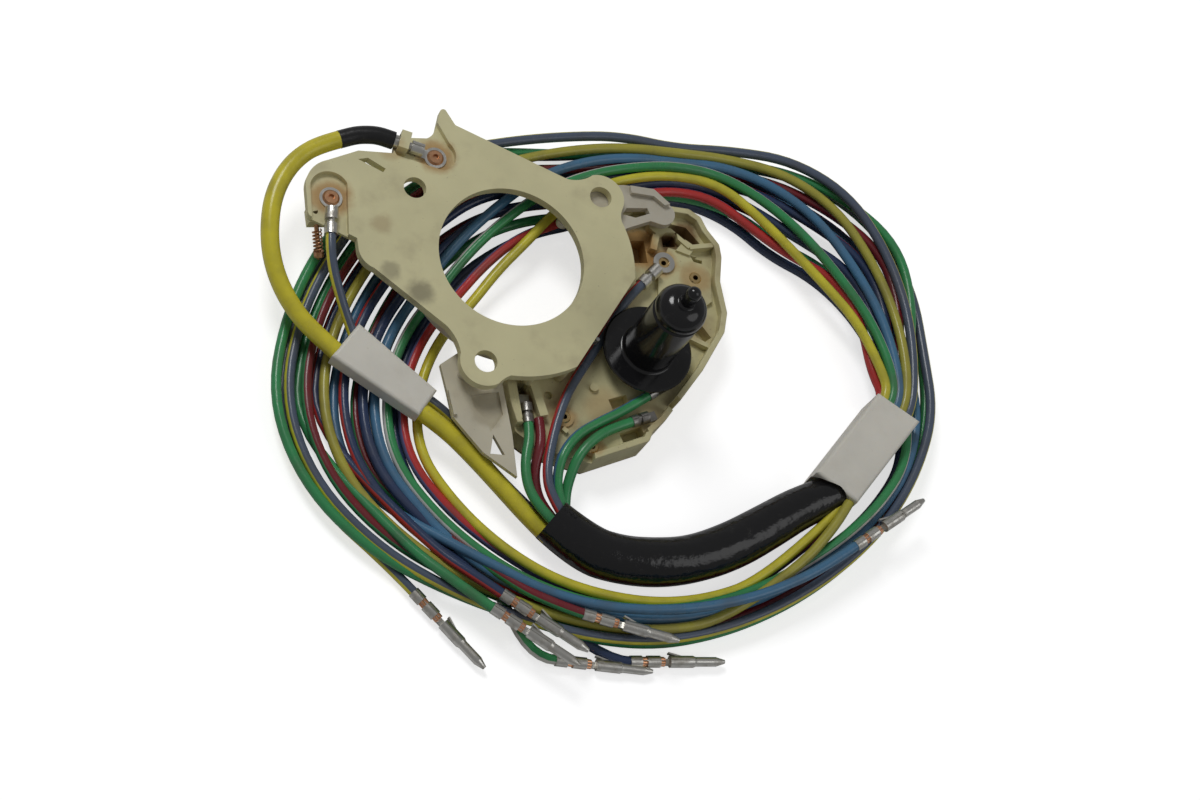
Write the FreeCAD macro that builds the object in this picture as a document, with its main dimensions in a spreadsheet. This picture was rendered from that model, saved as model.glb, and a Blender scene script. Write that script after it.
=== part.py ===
import FreeCAD, Part
import math
import os
import Sketcher
from FreeCAD import Rotation, Vector

# Turn indicator switch for a steering column, with its hazard knob, horn contacts and harness.
# The origin is the centre of the shaft hole on the plate's top face, +Z points up out of the plate.
# All lengths are in millimetres, all angles in degrees.

SIZES = (
    ("plate_thick", 2.5, "mounting plate, thickness"),
    ("shaft_hole_dia", 38.0, "hole for the steering shaft"),
    ("plate_ring_rad", 32.7, "outer radius of the plate round the shaft hole"),
    ("knob_flat_dist", 28.8, "distance of the plate's flat beside the knob from the shaft axis"),
    ("ear_rad", 6.4, "radius of the two screw ears"),
    ("screw_hole_dia", 5.8, "clearance hole for a fixing screw"),
    ("right_ear_x", 26.6, "right ear, screw hole"),
    ("right_ear_y", 16.8, "right ear, screw hole"),
    ("low_ear_x", -11.0, "low ear, screw hole"),
    ("low_ear_y", -28.4, "low ear, screw hole"),
    ("left_hole_x", -22.7, "left screw hole"),
    ("left_hole_y", 19.0, "left screw hole"),
    ("pocket_floor", 0.9, "plate left under a terminal pocket"),
    ("edge_rad", 0.3, "rounding of the moulded edges"),
    ("horn_left_x", -44.3, "left horn contact, eyelet"),
    ("horn_left_y", 16.6, "left horn contact, eyelet"),
    ("horn_top_x", -15.8, "top horn contact, eyelet"),
    ("horn_top_y", 28.1, "top horn contact, eyelet"),
    ("stand_height", 18.0, "plate's top face above the surface it stands on"),
    ("slide_gap", 0.4, "gap above the yoke, below the plate"),
    ("yoke_thick", 2.2, "signal yoke, thickness"),
    ("yoke_inner_rad", 20.8, "signal yoke, inner radius of its ring"),
    ("yoke_outer_rad", 27.0, "signal yoke, outer radius of its ring"),
    ("finger_rad", 18.9, "reach of the cancelling fingers from the shaft axis"),
    ("drive_rad", 28.5, "drive peg of the yoke, distance from the shaft axis"),
    ("drive_angle", -14.0, "drive peg of the yoke, angle"),
    ("peg_dia", 2.0, "drive peg, diameter"),
    ("running_gap", 0.1, "radial clearance of a shaft in its bore"),
    ("free_gap", 0.3, "clearance between parts that pass each other"),
    ("hook_depth", 6.4, "hooks under the plate, lower end"),
    ("hook_width", 4.0, "hooks under the plate, width"),
    ("hook_thick", 1.8, "hooks under the plate, thickness"),
    ("hook_reach", 1.2, "hooks under the plate, grip under the yoke's ring"),
    ("spring_block", 2.7, "seat of the horn spring, below the plate"),
    ("horn_stem_rad", 0.6, "horn contact, radius of its stem"),
    ("clip_rise", 2.6, "wire clip, height above the plate"),
    ("rim_depth", 6.6, "top of the body's rim below the plate's top face"),
    ("deck_depth", 9.5, "deck of the body below the plate's top face"),
    ("wall_thick", 1.6, "body, wall thickness"),
    ("rib_thick", 1.2, "body, rib thickness"),
    ("board_thick", 1.5, "contact board under the body"),
    ("knob_x", 33.9, "hazard knob, axis"),
    ("knob_y", -24.0, "hazard knob, axis"),
    ("flange_rad", 11.8, "hazard knob, flange radius"),
    ("flange_thick", 1.2, "hazard knob, flange thickness"),
    ("flange_depth", 3.8, "hazard knob, top of its flange below the plate's top face"),
    ("stem_rad", 6.6, "hazard knob, stem radius"),
    ("stem_height", 24.0, "hazard knob, stem above the flange"),
    ("nub_rad", 1.9, "hazard knob, nub radius"),
    ("shank_rad", 3.6, "hazard knob, shank radius"),
    ("knob_travel", 4.0, "hazard knob, travel"),
    ("slider_rad", 5.2, "hazard slider, radius"),
    ("slider_thick", 2.0, "hazard slider, thickness"),
    ("wire_dia", 2.6, "thin wire"),
    ("horn_wire_dia", 4.6, "thick horn wire"),
    ("sleeve_dia", 12.5, "taped sleeve round the harness"),
    ("eyelet_rad", 1.1, "brass eyelet, radius of its barrel"),
    ("eyelet_bore", 0.7, "brass eyelet, radius of its bore"),
    ("weld", 0.5, "how far walls and bosses reach into the deck"),
    ("plateau_rise", 1.2, "terminal plateau above the deck"),
    ("channel_floor", 1.5, "floor of the carrier's channel above the board"),
    ("slider_lift", 0.5, "hazard slider above the board at rest"),
    ("carrier_low", 14.2, "contact carrier, lower face below the plate's top face"),
    ("carrier_tall", 3.2, "contact carrier, height"),
    ("bridge_thick", 0.3, "contact bridges, thickness"),
    ("sheet_metal", 0.4, "thickness of contact strips and terminals"),
    ("pin_length", 15.0, "pin terminal, length of its pin"),
    ("pin_dia", 2.4, "pin terminal, diameter of its pin"),
    ("crimp_dia", 3.4, "crimped barrel, outer diameter"),
    ("guard_top_depth", 6.4, "wire guard, top face below the plate's top face"),
    ("guard_thick", 1.4, "wire guard, thickness"),
    ("coil_high", 9.6, "wire coil, height at its bundled right end"),
    ("coil_low", 5.6, "wire coil, height at its fanned left end"),
)

doc = FreeCAD.newDocument("indicator_switch")
sheet = doc.addObject("Spreadsheet::Sheet", "Sizes")


class Measure:
    """A length or angle that carries its value and the text that binds it to the sheet."""

    def __init__(self, value, text):
        self.value = value
        self.text = text

    def join(self, other, sign, value):
        other_text = other.text if isinstance(other, Measure) else repr(float(other))
        return Measure(value, "(%s %s %s)" % (self.text, sign, other_text))

    def __add__(self, other):
        return self.join(other, "+", self.value + number(other))

    def __sub__(self, other):
        return self.join(other, "-", self.value - number(other))

    def __mul__(self, other):
        return self.join(other, "*", self.value * number(other))

    def __truediv__(self, other):
        return self.join(other, "/", self.value / number(other))

    def __neg__(self):
        return Measure(-self.value, "(0 - %s)" % self.text)


def number(length):
    return length.value if isinstance(length, Measure) else float(length)


def fill_sheet():
    """Write the driving sizes into the sheet and return them by name."""
    named = {}
    for row, (alias, value, meaning) in enumerate(SIZES, start=1):
        sheet.set("A%d" % row, meaning)
        sheet.set("B%d" % row, str(value))
        sheet.setAlias("B%d" % row, alias)
        named[alias] = Measure(value, "Sizes." + alias)
    doc.recompute()
    return named


S = fill_sheet()

# Heights of the faces that pieces share, seen from the plate's top face.
PLATE_BOTTOM = -S["plate_thick"]
FLOOR = -S["stand_height"]
YOKE_TOP = PLATE_BOTTOM - S["slide_gap"]
YOKE_BOTTOM = YOKE_TOP - S["yoke_thick"]
RIM = -S["rim_depth"]
DECK = -S["deck_depth"]
BOARD_TOP = FLOOR + S["board_thick"]
GUARD_TOP = -S["guard_top_depth"]
GUARD_BOTTOM = GUARD_TOP - S["guard_thick"]
POCKET_TOP = PLATE_BOTTOM + S["pocket_floor"]
CARRIER_FLOOR = BOARD_TOP + S["channel_floor"]
SLIDER_LOW = BOARD_TOP + S["slider_lift"]
SLIDER_ROOM = S["slider_thick"] + S["knob_travel"] + S["free_gap"] * 2
BARREL_RAD = S["crimp_dia"] * 0.5
THIN_BARREL_RAD = BARREL_RAD - 0.2

# Extra length of a cutting shape past the face it opens.
PAST = 1.0


def bind(obj, prop, length):
    if isinstance(length, Measure):
        obj.setExpression(prop, length.text)
    else:
        setattr(obj, prop, length)


def bind_place(obj, x, y, z, rotation=None):
    obj.Placement = FreeCAD.Placement(Vector(number(x), number(y), number(z)), rotation or Rotation())
    for axis, length in zip("xyz", (x, y, z)):
        if isinstance(length, Measure):
            obj.setExpression("Placement.Base." + axis, length.text)


def turn(angle):
    return Rotation(Vector(0, 0, 1), number(angle))


def polar(radius, angle):
    reach = math.radians(number(angle))
    return radius * math.cos(reach), radius * math.sin(reach)


# Places and directions that several pieces share.
EYELETS = ((44.3, 1.9), (52.5, -2.3), (10.5, -40.0), (16.6, -48.2))
PLATEAU_EYELETS = 2
DETENT_ANGLE = -56.0
TOP_WIRE_CLIP = (-24.2, 31.2)
TOP_WIRE_ANGLE = 159.8
TOP_WIRE_LEVEL = 0.1
TOP_WIRE_WAY = turn(TOP_WIRE_ANGLE).multVec(Vector(1, 0, 0))
TOP_WIRE_TILT = Rotation(Vector(0, 0, 1), TOP_WIRE_WAY)
LEFT_WAY = Vector(-0.15, -0.9887, 0)
RIGHT_WAY = Vector(-0.76, -0.65, 0).normalize()
CARRIER_CENTRE = polar(number(S["drive_rad"]), S["drive_angle"])


def eyelet_seat(i):
    """Height of the face that eyelet i is riveted to."""
    return DECK + S["plateau_rise"] if i < PLATEAU_EYELETS else DECK + 0.5


def box(name, length, width, height, x, y, z, rotation=None):
    obj = doc.addObject("Part::Box", name)
    for prop, value in (("Length", length), ("Width", width), ("Height", height)):
        bind(obj, prop, value)
    bind_place(obj, x, y, z, rotation)
    return obj


def centred_box(name, length, width, height, x, y, z, angle=0.0):
    """A box centred on x and y, turned about Z, with its lower face at z."""
    obj = doc.addObject("Part::Box", name)
    for prop, value in (("Length", length), ("Width", width), ("Height", height)):
        bind(obj, prop, value)
    spin = turn(angle)
    corner = spin.multVec(Vector(-number(length) / 2, -number(width) / 2, 0))
    bind_place(obj, x + corner.x, y + corner.y, z, spin)
    return obj


def cylinder(name, radius, height, x, y, z, rotation=None):
    obj = doc.addObject("Part::Cylinder", name)
    bind(obj, "Radius", radius)
    bind(obj, "Height", height)
    bind_place(obj, x, y, z, rotation)
    return obj


def cone(name, low_radius, high_radius, height, x, y, z, rotation=None):
    obj = doc.addObject("Part::Cone", name)
    bind(obj, "Radius1", low_radius)
    bind(obj, "Radius2", high_radius)
    bind(obj, "Height", height)
    bind_place(obj, x, y, z, rotation)
    return obj


def fuse(name, shapes):
    obj = doc.addObject("Part::MultiFuse", name)
    obj.Shapes = shapes
    obj.Refine = True
    return obj


def cut(name, base, tools):
    obj = doc.addObject("Part::Cut", name)
    obj.Base = base
    obj.Tool = tools[0] if len(tools) == 1 else fuse(name + "_tools", tools)
    obj.Refine = True
    return obj


def group(name, shapes):
    """Separate like solids that share one node."""
    obj = doc.addObject("Part::Compound", name)
    obj.Links = shapes
    return obj


def arc_centre(start, end, radius):
    """Centre of the arc from start to end; it lies left of the way for a positive radius."""
    middle = (start + end) * 0.5
    half = (end - start) * 0.5
    rise = math.sqrt(max(radius * radius - half.Length * half.Length, 0.0))
    left = Vector(-half.y, half.x, 0).normalize()
    return middle + left * math.copysign(rise, radius)


def draw(sketch, points):
    """Draw a closed outline. A point is (x, y), or (x, y, radius) where an arc leaves it."""
    places = [Vector(number(p[0]), number(p[1]), 0) for p in points]
    count = len(points)
    for i, point in enumerate(points):
        start = places[i]
        end = places[(i + 1) % count]
        if len(point) == 3:
            radius = number(point[2])
            centre = arc_centre(start, end, radius)
            first, last = (start, end) if radius > 0 else (end, start)
            first_angle = math.atan2(first.y - centre.y, first.x - centre.x)
            last_angle = math.atan2(last.y - centre.y, last.x - centre.x)
            circle = Part.Circle(centre, Vector(0, 0, 1), abs(radius))
            sketch.addGeometry(Part.ArcOfCircle(circle, first_angle, last_angle), False)
        else:
            sketch.addGeometry(Part.LineSegment(start, end), False)
    ends = []
    for point in points:
        clockwise = len(point) == 3 and number(point[2]) < 0
        ends.append((2, 1) if clockwise else (1, 2))
    for i in range(count):
        following = (i + 1) % count
        sketch.addConstraint(Sketcher.Constraint("Coincident", i, ends[i][1], following, ends[following][0]))
    for i, point in enumerate(points):
        for kind, length in zip(("DistanceX", "DistanceY"), point[:2]):
            index = sketch.addConstraint(Sketcher.Constraint(kind, i, ends[i][0], number(length)))
            if isinstance(length, Measure):
                sketch.setExpression("Constraints[%d]" % index, length.text)
        if len(point) == 3:
            index = sketch.addConstraint(Sketcher.Constraint("Radius", i, abs(number(point[2]))))
            if isinstance(point[2], Measure):
                text = point[2].text if number(point[2]) > 0 else "(0 - %s)" % point[2].text
                sketch.setExpression("Constraints[%d]" % index, text)
    return sketch


def outline(name, points, z):
    sketch = doc.addObject("Sketcher::SketchObject", name)
    draw(sketch, points)
    bind_place(sketch, 0, 0, z)
    return sketch


def extrude(name, sketch, height):
    """Raise a sketch by height, upwards from where it lies."""
    obj = doc.addObject("Part::Extrusion", name)
    obj.Base = sketch
    obj.DirMode = "Normal"
    obj.Solid = True
    bind(obj, "LengthFwd", height)
    return obj


def slab(name, points, low, high):
    return extrude(name, outline(name + "_outline", points, low), high - low)


def round_edges(name, base, radius, chosen):
    """Round the edges of base that the test picks."""
    doc.recompute()
    obj = doc.addObject("Part::Fillet", name)
    obj.Base = base
    size = number(radius)
    obj.Edges = [(i, size, size) for i, edge in enumerate(base.Shape.Edges, start=1) if chosen(edge)]
    return obj


def upright(edge):
    if len(edge.Vertexes) != 2:
        return False
    start, end = (v.Point for v in edge.Vertexes)
    return abs(start.x - end.x) < 1e-6 and abs(start.y - end.y) < 1e-6


def named(obj, label):
    obj.Label = label
    NODES.append(obj)
    return obj


NODES = []


def origin_plane(body, role):
    for feature in body.Origin.OriginFeatures:
        if feature.Role == role:
            return feature
    raise ValueError("no plane " + role)


def body_sketch(body, name, role):
    sketch = body.newObject("Sketcher::SketchObject", name)
    sketch.AttachmentSupport = (origin_plane(body, role), [""])
    sketch.MapMode = "FlatFace"
    return sketch


# Mounting plate: an ivory moulding with the shaft hole, three screw holes and two horn contact pockets.

def plate_outline():
    ring = S["plate_ring_rad"]
    ear = S["ear_rad"]
    ear_x = S["right_ear_x"]
    ear_y = S["right_ear_y"]
    low_x = S["low_ear_x"]
    low_y = S["low_ear_y"]
    flat_half = math.sqrt(number(ring) ** 2 - number(S["knob_flat_dist"]) ** 2)
    flat_angle = math.radians(-39.2)
    across = Vector(math.cos(flat_angle), math.sin(flat_angle), 0)
    along = Vector(-across.y, across.x, 0)
    flat_top = across * number(S["knob_flat_dist"]) + along * flat_half
    flat_low = across * number(S["knob_flat_dist"]) - along * flat_half
    return [
        (-39.4, 5.0),
        (-39.4, 2.6, 6.0),
        (-36.0, -3.2),
        (-19.9, -18.6, -12.0),
        (low_x - ear + 0.3, low_y + 2.4, ear),
        (low_x + 2.4, low_y - ear + 0.4, -9.0),
        (polar(ring, -99.0)[0], polar(ring, -99.0)[1], ring),
        (flat_low.x, flat_low.y),
        (flat_top.x, flat_top.y, ring),
        (polar(ring, 17.5)[0], polar(ring, 17.5)[1], -6.0),
        (ear_x + 5.6, ear_y - 3.0, ear),
        (ear_x - 1.2, ear_y + ear - 0.15, -9.0),
        (18.2, 21.9),
        (-9.6, 36.9),
        (-11.6, 41.2, 1.0),
        (-13.2, 40.6),
        (-14.6, 36.6, -4.0),
        (-17.2, 33.8),
        (-23.6, 33.9, 1.5),
        (-26.0, 32.6),
        (-27.0, 28.6),
        (-36.0, 29.2),
        (-44.4, 26.4, 8.0),
        (-50.6, 19.6),
        (-50.9, 12.6, 1.6),
        (-49.4, 10.6),
    ]


def plate_moulding():
    body = doc.addObject("PartDesign::Body", "PlateBody")
    sketch = draw(body_sketch(body, "PlateOutline", "XY_Plane"), plate_outline())
    pad = body.newObject("PartDesign::Pad", "PlatePad")
    pad.Profile = sketch
    bind(pad, "Length", S["plate_thick"])
    pad.Reversed = True
    holes = body_sketch(body, "PlateHoles", "XY_Plane")
    rounds = (
        (0.0, 0.0, S["shaft_hole_dia"]),
        (S["right_ear_x"], S["right_ear_y"], S["screw_hole_dia"]),
        (S["low_ear_x"], S["low_ear_y"], S["screw_hole_dia"]),
        (S["left_hole_x"], S["left_hole_y"], S["screw_hole_dia"]),
    )
    for i, (x, y, diameter) in enumerate(rounds):
        place = Vector(number(x), number(y), 0)
        holes.addGeometry(Part.Circle(place, Vector(0, 0, 1), number(diameter) / 2), False)
        for kind, length in (("DistanceX", x), ("DistanceY", y)):
            index = holes.addConstraint(Sketcher.Constraint(kind, i, 3, number(length)))
            if isinstance(length, Measure):
                holes.setExpression("Constraints[%d]" % index, length.text)
        index = holes.addConstraint(Sketcher.Constraint("Diameter", i, number(diameter)))
        holes.setExpression("Constraints[%d]" % index, diameter.text)
    pocket = body.newObject("PartDesign::Pocket", "PlateHolesCut")
    pocket.Profile = holes
    pocket.Type = "ThroughAll"
    pocket.Midplane = True
    pockets = (
        ("LeftPocket", [(-49.4, 20.0, -5.0), (-40.0, 20.0), (-41.4, 5.0), (-50.2, 9.0)]),
        ("TopPocket", [(-26.2, 28.0), (-14.4, 23.9, 4.6), (-11.9, 31.6), (-14.4, 38.0), (-30.0, 38.0)]),
    )
    for name, points in pockets:
        hollow = draw(body_sketch(body, name + "Outline", "XY_Plane"), points)
        step = body.newObject("PartDesign::Pocket", name)
        step.Profile = hollow
        bind(step, "Length", S["plate_thick"] - S["pocket_floor"])
    slit_points = [(-36.4, 26.8), (-33.8, 27.2), (-29.6, 24.2), (-30.4, 23.2)]
    slit = draw(body_sketch(body, "SlitOutline", "XY_Plane"), slit_points)
    step = body.newObject("PartDesign::Pocket", "Slit")
    step.Profile = slit
    step.Type = "ThroughAll"
    step.Midplane = True
    return body


# Horn contact: a copper head on a small coil spring that leans out from under the left ear.

HORN_BASE = Vector(-48.1, 10.8, -4.0)
HORN_WAY = Vector(0.159, -0.716, -0.682).normalize()
HORN_TILT = Rotation(Vector(0, 0, 1), HORN_WAY)


def along_horn(distance):
    return HORN_BASE + HORN_WAY * distance


def horn_rod(name, radius, start, length):
    place = along_horn(start)
    return cylinder(name, radius, length, place.x, place.y, place.z, HORN_TILT)


def yoke_hook(name, angle):
    """Hook under the plate that carries the yoke's ring from below."""
    spin = turn(angle)
    outer = S["yoke_outer_rad"]
    block_inner = outer + S["free_gap"]
    drop = S["hook_depth"] + PLATE_BOTTOM
    block_place = spin.multVec(Vector(number(block_inner), -number(S["hook_width"]) / 2, 0))
    block = box(name + "_block", S["hook_thick"], S["hook_width"], drop, block_place.x, block_place.y,
                -S["hook_depth"], spin)
    lip_inner = outer - S["hook_reach"]
    lip_place = spin.multVec(Vector(number(lip_inner), -number(S["hook_width"]) / 2, 0))
    lip_length = S["hook_reach"] + S["free_gap"] + S["hook_thick"] * 0.5
    lip_height = S["hook_depth"] + YOKE_BOTTOM - S["free_gap"]
    lip = box(name + "_lip", lip_length, S["hook_width"], lip_height, lip_place.x, lip_place.y,
              -S["hook_depth"], spin)
    return [block, lip]


def mounting_plate():
    parts = [plate_moulding()]
    for name, angle in (("hook_top", 90.0), ("hook_left", 165.0), ("hook_low", 285.0)):
        parts += yoke_hook(name, angle)
    block_low = -(S["plate_thick"] + S["spring_block"])
    block_high = PLATE_BOTTOM + S["free_gap"]
    parts.append(box("spring_seat", 4.6, 4.2, block_high - block_low, -50.4, 10.4, block_low))
    clip_height = S["plate_thick"] + S["clip_rise"]
    clip = centred_box("clip_block", 2.6, 5.0, clip_height, *TOP_WIRE_CLIP, PLATE_BOTTOM, TOP_WIRE_ANGLE)
    parts.append(clip)
    start = Vector(*TOP_WIRE_CLIP, 0) - TOP_WIRE_WAY * 4.0
    clip_rad = S["wire_dia"] * 0.5 + S["free_gap"] * 3
    clip_bore = cylinder("clip_bore", clip_rad, 8.0, start.x, start.y, TOP_WIRE_LEVEL, TOP_WIRE_TILT)
    tip_bore = horn_rod("horn_bore", S["horn_stem_rad"] + S["running_gap"], -3.4, 6.0)
    return named(cut("plate_cut", fuse("plate_parts", parts), [clip_bore, tip_bore]), "mounting_plate")


mounting_plate()


# Switch body: open topped moulding whose deck carries pockets, ribs, the knob's boss and the
# carrier's channel.

BODY_POINTS = [
    (-3.9, -36.0),
    (-2.6, -43.5),
    (2.0, -47.6),
    (15.6, -52.4),
    (31.2, -48.0),
    (32.6, -45.4),
    (36.4, -42.6),
    (49.2, -29.0),
    (57.2, -18.5),
    (59.0, -13.0),
    (58.7, -4.0),
    (60.4, 3.0),
    (60.4, 6.6),
    (57.8, 11.0),
    (56.6, 14.6),
    (53.6, 17.0),
    (49.0, 17.7),
    (38.0, 18.2),
    (31.0, 13.0),
    (28.6, 4.0),
    (24.28, -0.64, -24.3),
    (-4.2, -23.9),
]


def body_hull():
    """Outer block, hollowed from above down to the deck."""
    block = slab("body_block", BODY_POINTS, BOARD_TOP, RIM)
    inner_sketch = outline("body_inner_line", BODY_POINTS, DECK)
    inner = doc.addObject("Part::Offset2D", "body_inner")
    inner.Source = inner_sketch
    bind(inner, "Value", -S["wall_thick"])
    inner.Join = 0
    hollow = extrude("body_hollow", inner, RIM - DECK + PAST)
    rounded = round_edges("body_rounded", block, S["free_gap"] * 4, upright)
    wire_exit = box("body_wire_exit", 30.0, 14.0, 6.0, -14.0, -56.0, DECK)
    return cut("body_hull", rounded, [hollow, wire_exit])


def strip(name, start, end, width, low, high):
    """A straight wall from start to end, both points on its centre line."""
    way = Vector(end[0] - start[0], end[1] - start[1], 0)
    angle = math.degrees(math.atan2(way.y, way.x))
    middle = ((start[0] + end[0]) / 2, (start[1] + end[1]) / 2)
    return centred_box(name, way.Length, width, high - low, middle[0], middle[1], low, angle)


# Walls on the deck: name, start, end, width, top below the rim.
DECK_WALLS = (
    ("rib_left", (43.2, 9.6), (41.7, 5.4), 1.8, 0.3),
    ("rib_middle", (43.0, 10.0), (47.6, 10.9), 1.2, 0.3),
    ("rib_right", (47.2, 10.9), (52.0, 6.0), 1.2, 0.3),
    ("rib_far", (52.0, 6.0), (58.6, 6.6), 1.2, 0.3),
    ("prong_left", (-2.4, -29.8), (-2.2, -40.8), 1.8, 0.2),
    ("prong_right", (2.9, -29.9), (4.5, -40.3), 2.2, 0.2),
    ("eyelet_stop", (9.5, -43.1), (10.5, -44.2), 1.2, 1.7),
    ("side_wall", (46.0, -18.5), (52.6, -22.0), 1.2, 0.8),
)

# Round features on the deck: name, x, y, radius, top below the plate's top face.
DECK_POSTS = (
    ("plate_post_right", 30.6, 0.9, 1.2, 2.5),
    ("plate_post_left", 1.5, -31.1, 1.2, 2.5),
    ("plate_post_low", 10.9, -29.2, 1.2, 2.5),
    ("rib_boss", 43.8, 12.6, 2.4, 6.9),
    ("peg_light", 19.6, -32.3, 1.1, 8.5),
    ("peg_dark", 45.2, -27.8, 1.1, 8.1),
)

# Raised areas of the deck that carry the terminals, with a tongue between the ribs.
PLATEAU = [(42.5, -1.0), (41.0, -9.0), (48.0, -14.0), (56.0, -9.0), (57.0, -1.0), (54.0, 3.8), (46.5, 6.5)]
TONGUE = [(48.2, 5.4), (51.3, 8.5), (53.9, 6.4), (51.8, 3.9)]

# Rectangular pockets: name, size along, size across, centre x, centre y, floor, angle.
POCKETS = (
    ("pocket_rib", 3.4, 3.0, 47.3, 8.7, -14.5, 0.0),
    ("pocket_left", 4.6, 6.4, 38.2, 5.8, -14.5, 0.0),
    ("pocket_deck", 5.0, 3.0, 26.0, -36.2, -12.5, 14.0),
    ("pocket_side", 3.4, 6.0, 51.5, -17.0, -13.5, 30.0),
    ("pocket_low", 4.0, 2.6, 40.2, -38.2, -13.0, 40.0),
    ("pocket_wall", 6.4, 2.6, 28.0, -45.0, -13.5, 16.0),
)
CORNER_RECESS = [(48.5, 14.0), (47.8, 12.3), (51.0, 10.0), (54.2, 7.8), (56.2, 8.2), (53.0, 12.9)]
PLATEAU_POCKET = [(52.2, 4.2), (55.9, 3.3), (55.8, 1.5), (52.9, 2.4)]
TERMINAL_SLOT = ((0.6, -30.6), (0.5, -41.0))


def body_features():
    """Everything that stands on the deck."""
    wall_low = DECK - S["weld"]
    parts = []
    for name, start, end, width, below_rim in DECK_WALLS:
        parts.append(strip(name, start, end, width, wall_low, RIM - below_rim))
    for name, x, y, radius, depth in DECK_POSTS:
        parts.append(cylinder(name, radius, -wall_low - depth, x, y, wall_low))
    boss_top = -(S["flange_depth"] + S["flange_thick"] + S["free_gap"] * 2)
    boss_rad = S["shank_rad"] + S["running_gap"] + S["wall_thick"] * 2
    parts.append(cylinder("knob_boss", boss_rad, boss_top - wall_low, S["knob_x"], S["knob_y"], wall_low))
    parts.append(slab("plateau", PLATEAU, wall_low, DECK + S["plateau_rise"]))
    parts.append(slab("tongue", TONGUE, wall_low, RIM - S["free_gap"] * 3))
    for i, (x, y) in enumerate(EYELETS):
        parts.append(cylinder("eyelet_boss_%d" % i, 2.6, eyelet_seat(i) - wall_low, x, y, wall_low))
    return parts


def body_hollows():
    """Bores, the carrier's channel, the slider's room and the pockets."""
    bore_low = BOARD_TOP - PAST
    bore_rad = S["shank_rad"] + S["running_gap"]
    slider_rad = S["slider_rad"] + S["free_gap"]
    tools = [
        cylinder("knob_bore", bore_rad, 14.0, S["knob_x"], S["knob_y"], bore_low),
        cylinder("slider_room", slider_rad, SLIDER_ROOM + PAST, S["knob_x"], S["knob_y"], bore_low),
        centred_box("carrier_room", 6.2, 18.6, 12.0, *CARRIER_CENTRE, CARRIER_FLOOR, S["drive_angle"]),
        slab("corner_recess", CORNER_RECESS, -14.5, RIM + PAST),
        slab("plateau_pocket", PLATEAU_POCKET, -13.0, RIM + PAST),
        strip("terminal_slot", *TERMINAL_SLOT, 2.4, -15.0, RIM),
        cylinder("dimple", 1.1, 3.0, 7.3, -33.9, DECK - 1.2),
    ]
    for name, along, across, x, y, floor, angle in POCKETS:
        tools.append(centred_box(name, along, across, 8.0, x, y, floor, angle))
    for i, (x, y) in enumerate(EYELETS):
        tools.append(cylinder("eyelet_hole_%d" % i, S["eyelet_rad"] + 0.05, 16.0, x, y, FLOOR))
    return tools


def on_rim(edge):
    return edge.BoundBox.ZMin > number(RIM) - 1e-4


def switch_body():
    hull = round_edges("body_hull_rounded", body_hull(), S["edge_rad"], on_rim)
    solid = fuse("body_parts", [hull] + body_features())
    return named(cut("body_cut", solid, body_hollows()), "switch_body")


switch_body()


# Contact board: brown laminate riveted under the body.

def contact_board():
    line = outline("board_line", BODY_POINTS, FLOOR)
    inset = doc.addObject("Part::Offset2D", "board_inset")
    inset.Source = line
    inset.Value = -0.4
    inset.Join = 2
    board = extrude("board_blank", inset, S["board_thick"])
    holes = []
    for i, (x, y) in enumerate(EYELETS):
        holes.append(cylinder("board_hole_%d" % i, S["eyelet_rad"] + 0.05, 6.0, x, y, FLOOR - PAST))
        holes.append(cylinder("board_sink_%d" % i, S["eyelet_rad"] + 0.9, PAST + 0.5, x, y, FLOOR - PAST))
    return named(cut("board_cut", board, holes), "contact_board")


def brass_eyelets():
    rings = []
    for i, (x, y) in enumerate(EYELETS):
        seat = eyelet_seat(i)
        barrel = cylinder("eyelet_barrel_%d" % i, S["eyelet_rad"], seat - FLOOR, x, y, FLOOR + 0.1)
        flange_wide = S["eyelet_rad"] + 0.58
        flange = cone("eyelet_flange_%d" % i, flange_wide, S["eyelet_rad"] + 0.3, 0.3, x, y, seat)
        foot = cylinder("eyelet_foot_%d" % i, flange_wide, 0.3, x, y, FLOOR + 0.2)
        bore = cylinder("eyelet_bore_%d" % i, S["eyelet_bore"], 14.0, x, y, FLOOR)
        rings.append(cut("eyelet_%d" % i, fuse("eyelet_solid_%d" % i, [barrel, flange, foot]), [bore]))
    return named(group("eyelet_group", rings), "brass_eyelets")


contact_board()
brass_eyelets()


# Signal yoke: ring round the shaft under the plate, with the lever arm, two cancelling fingers
# and the drive peg.

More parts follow.
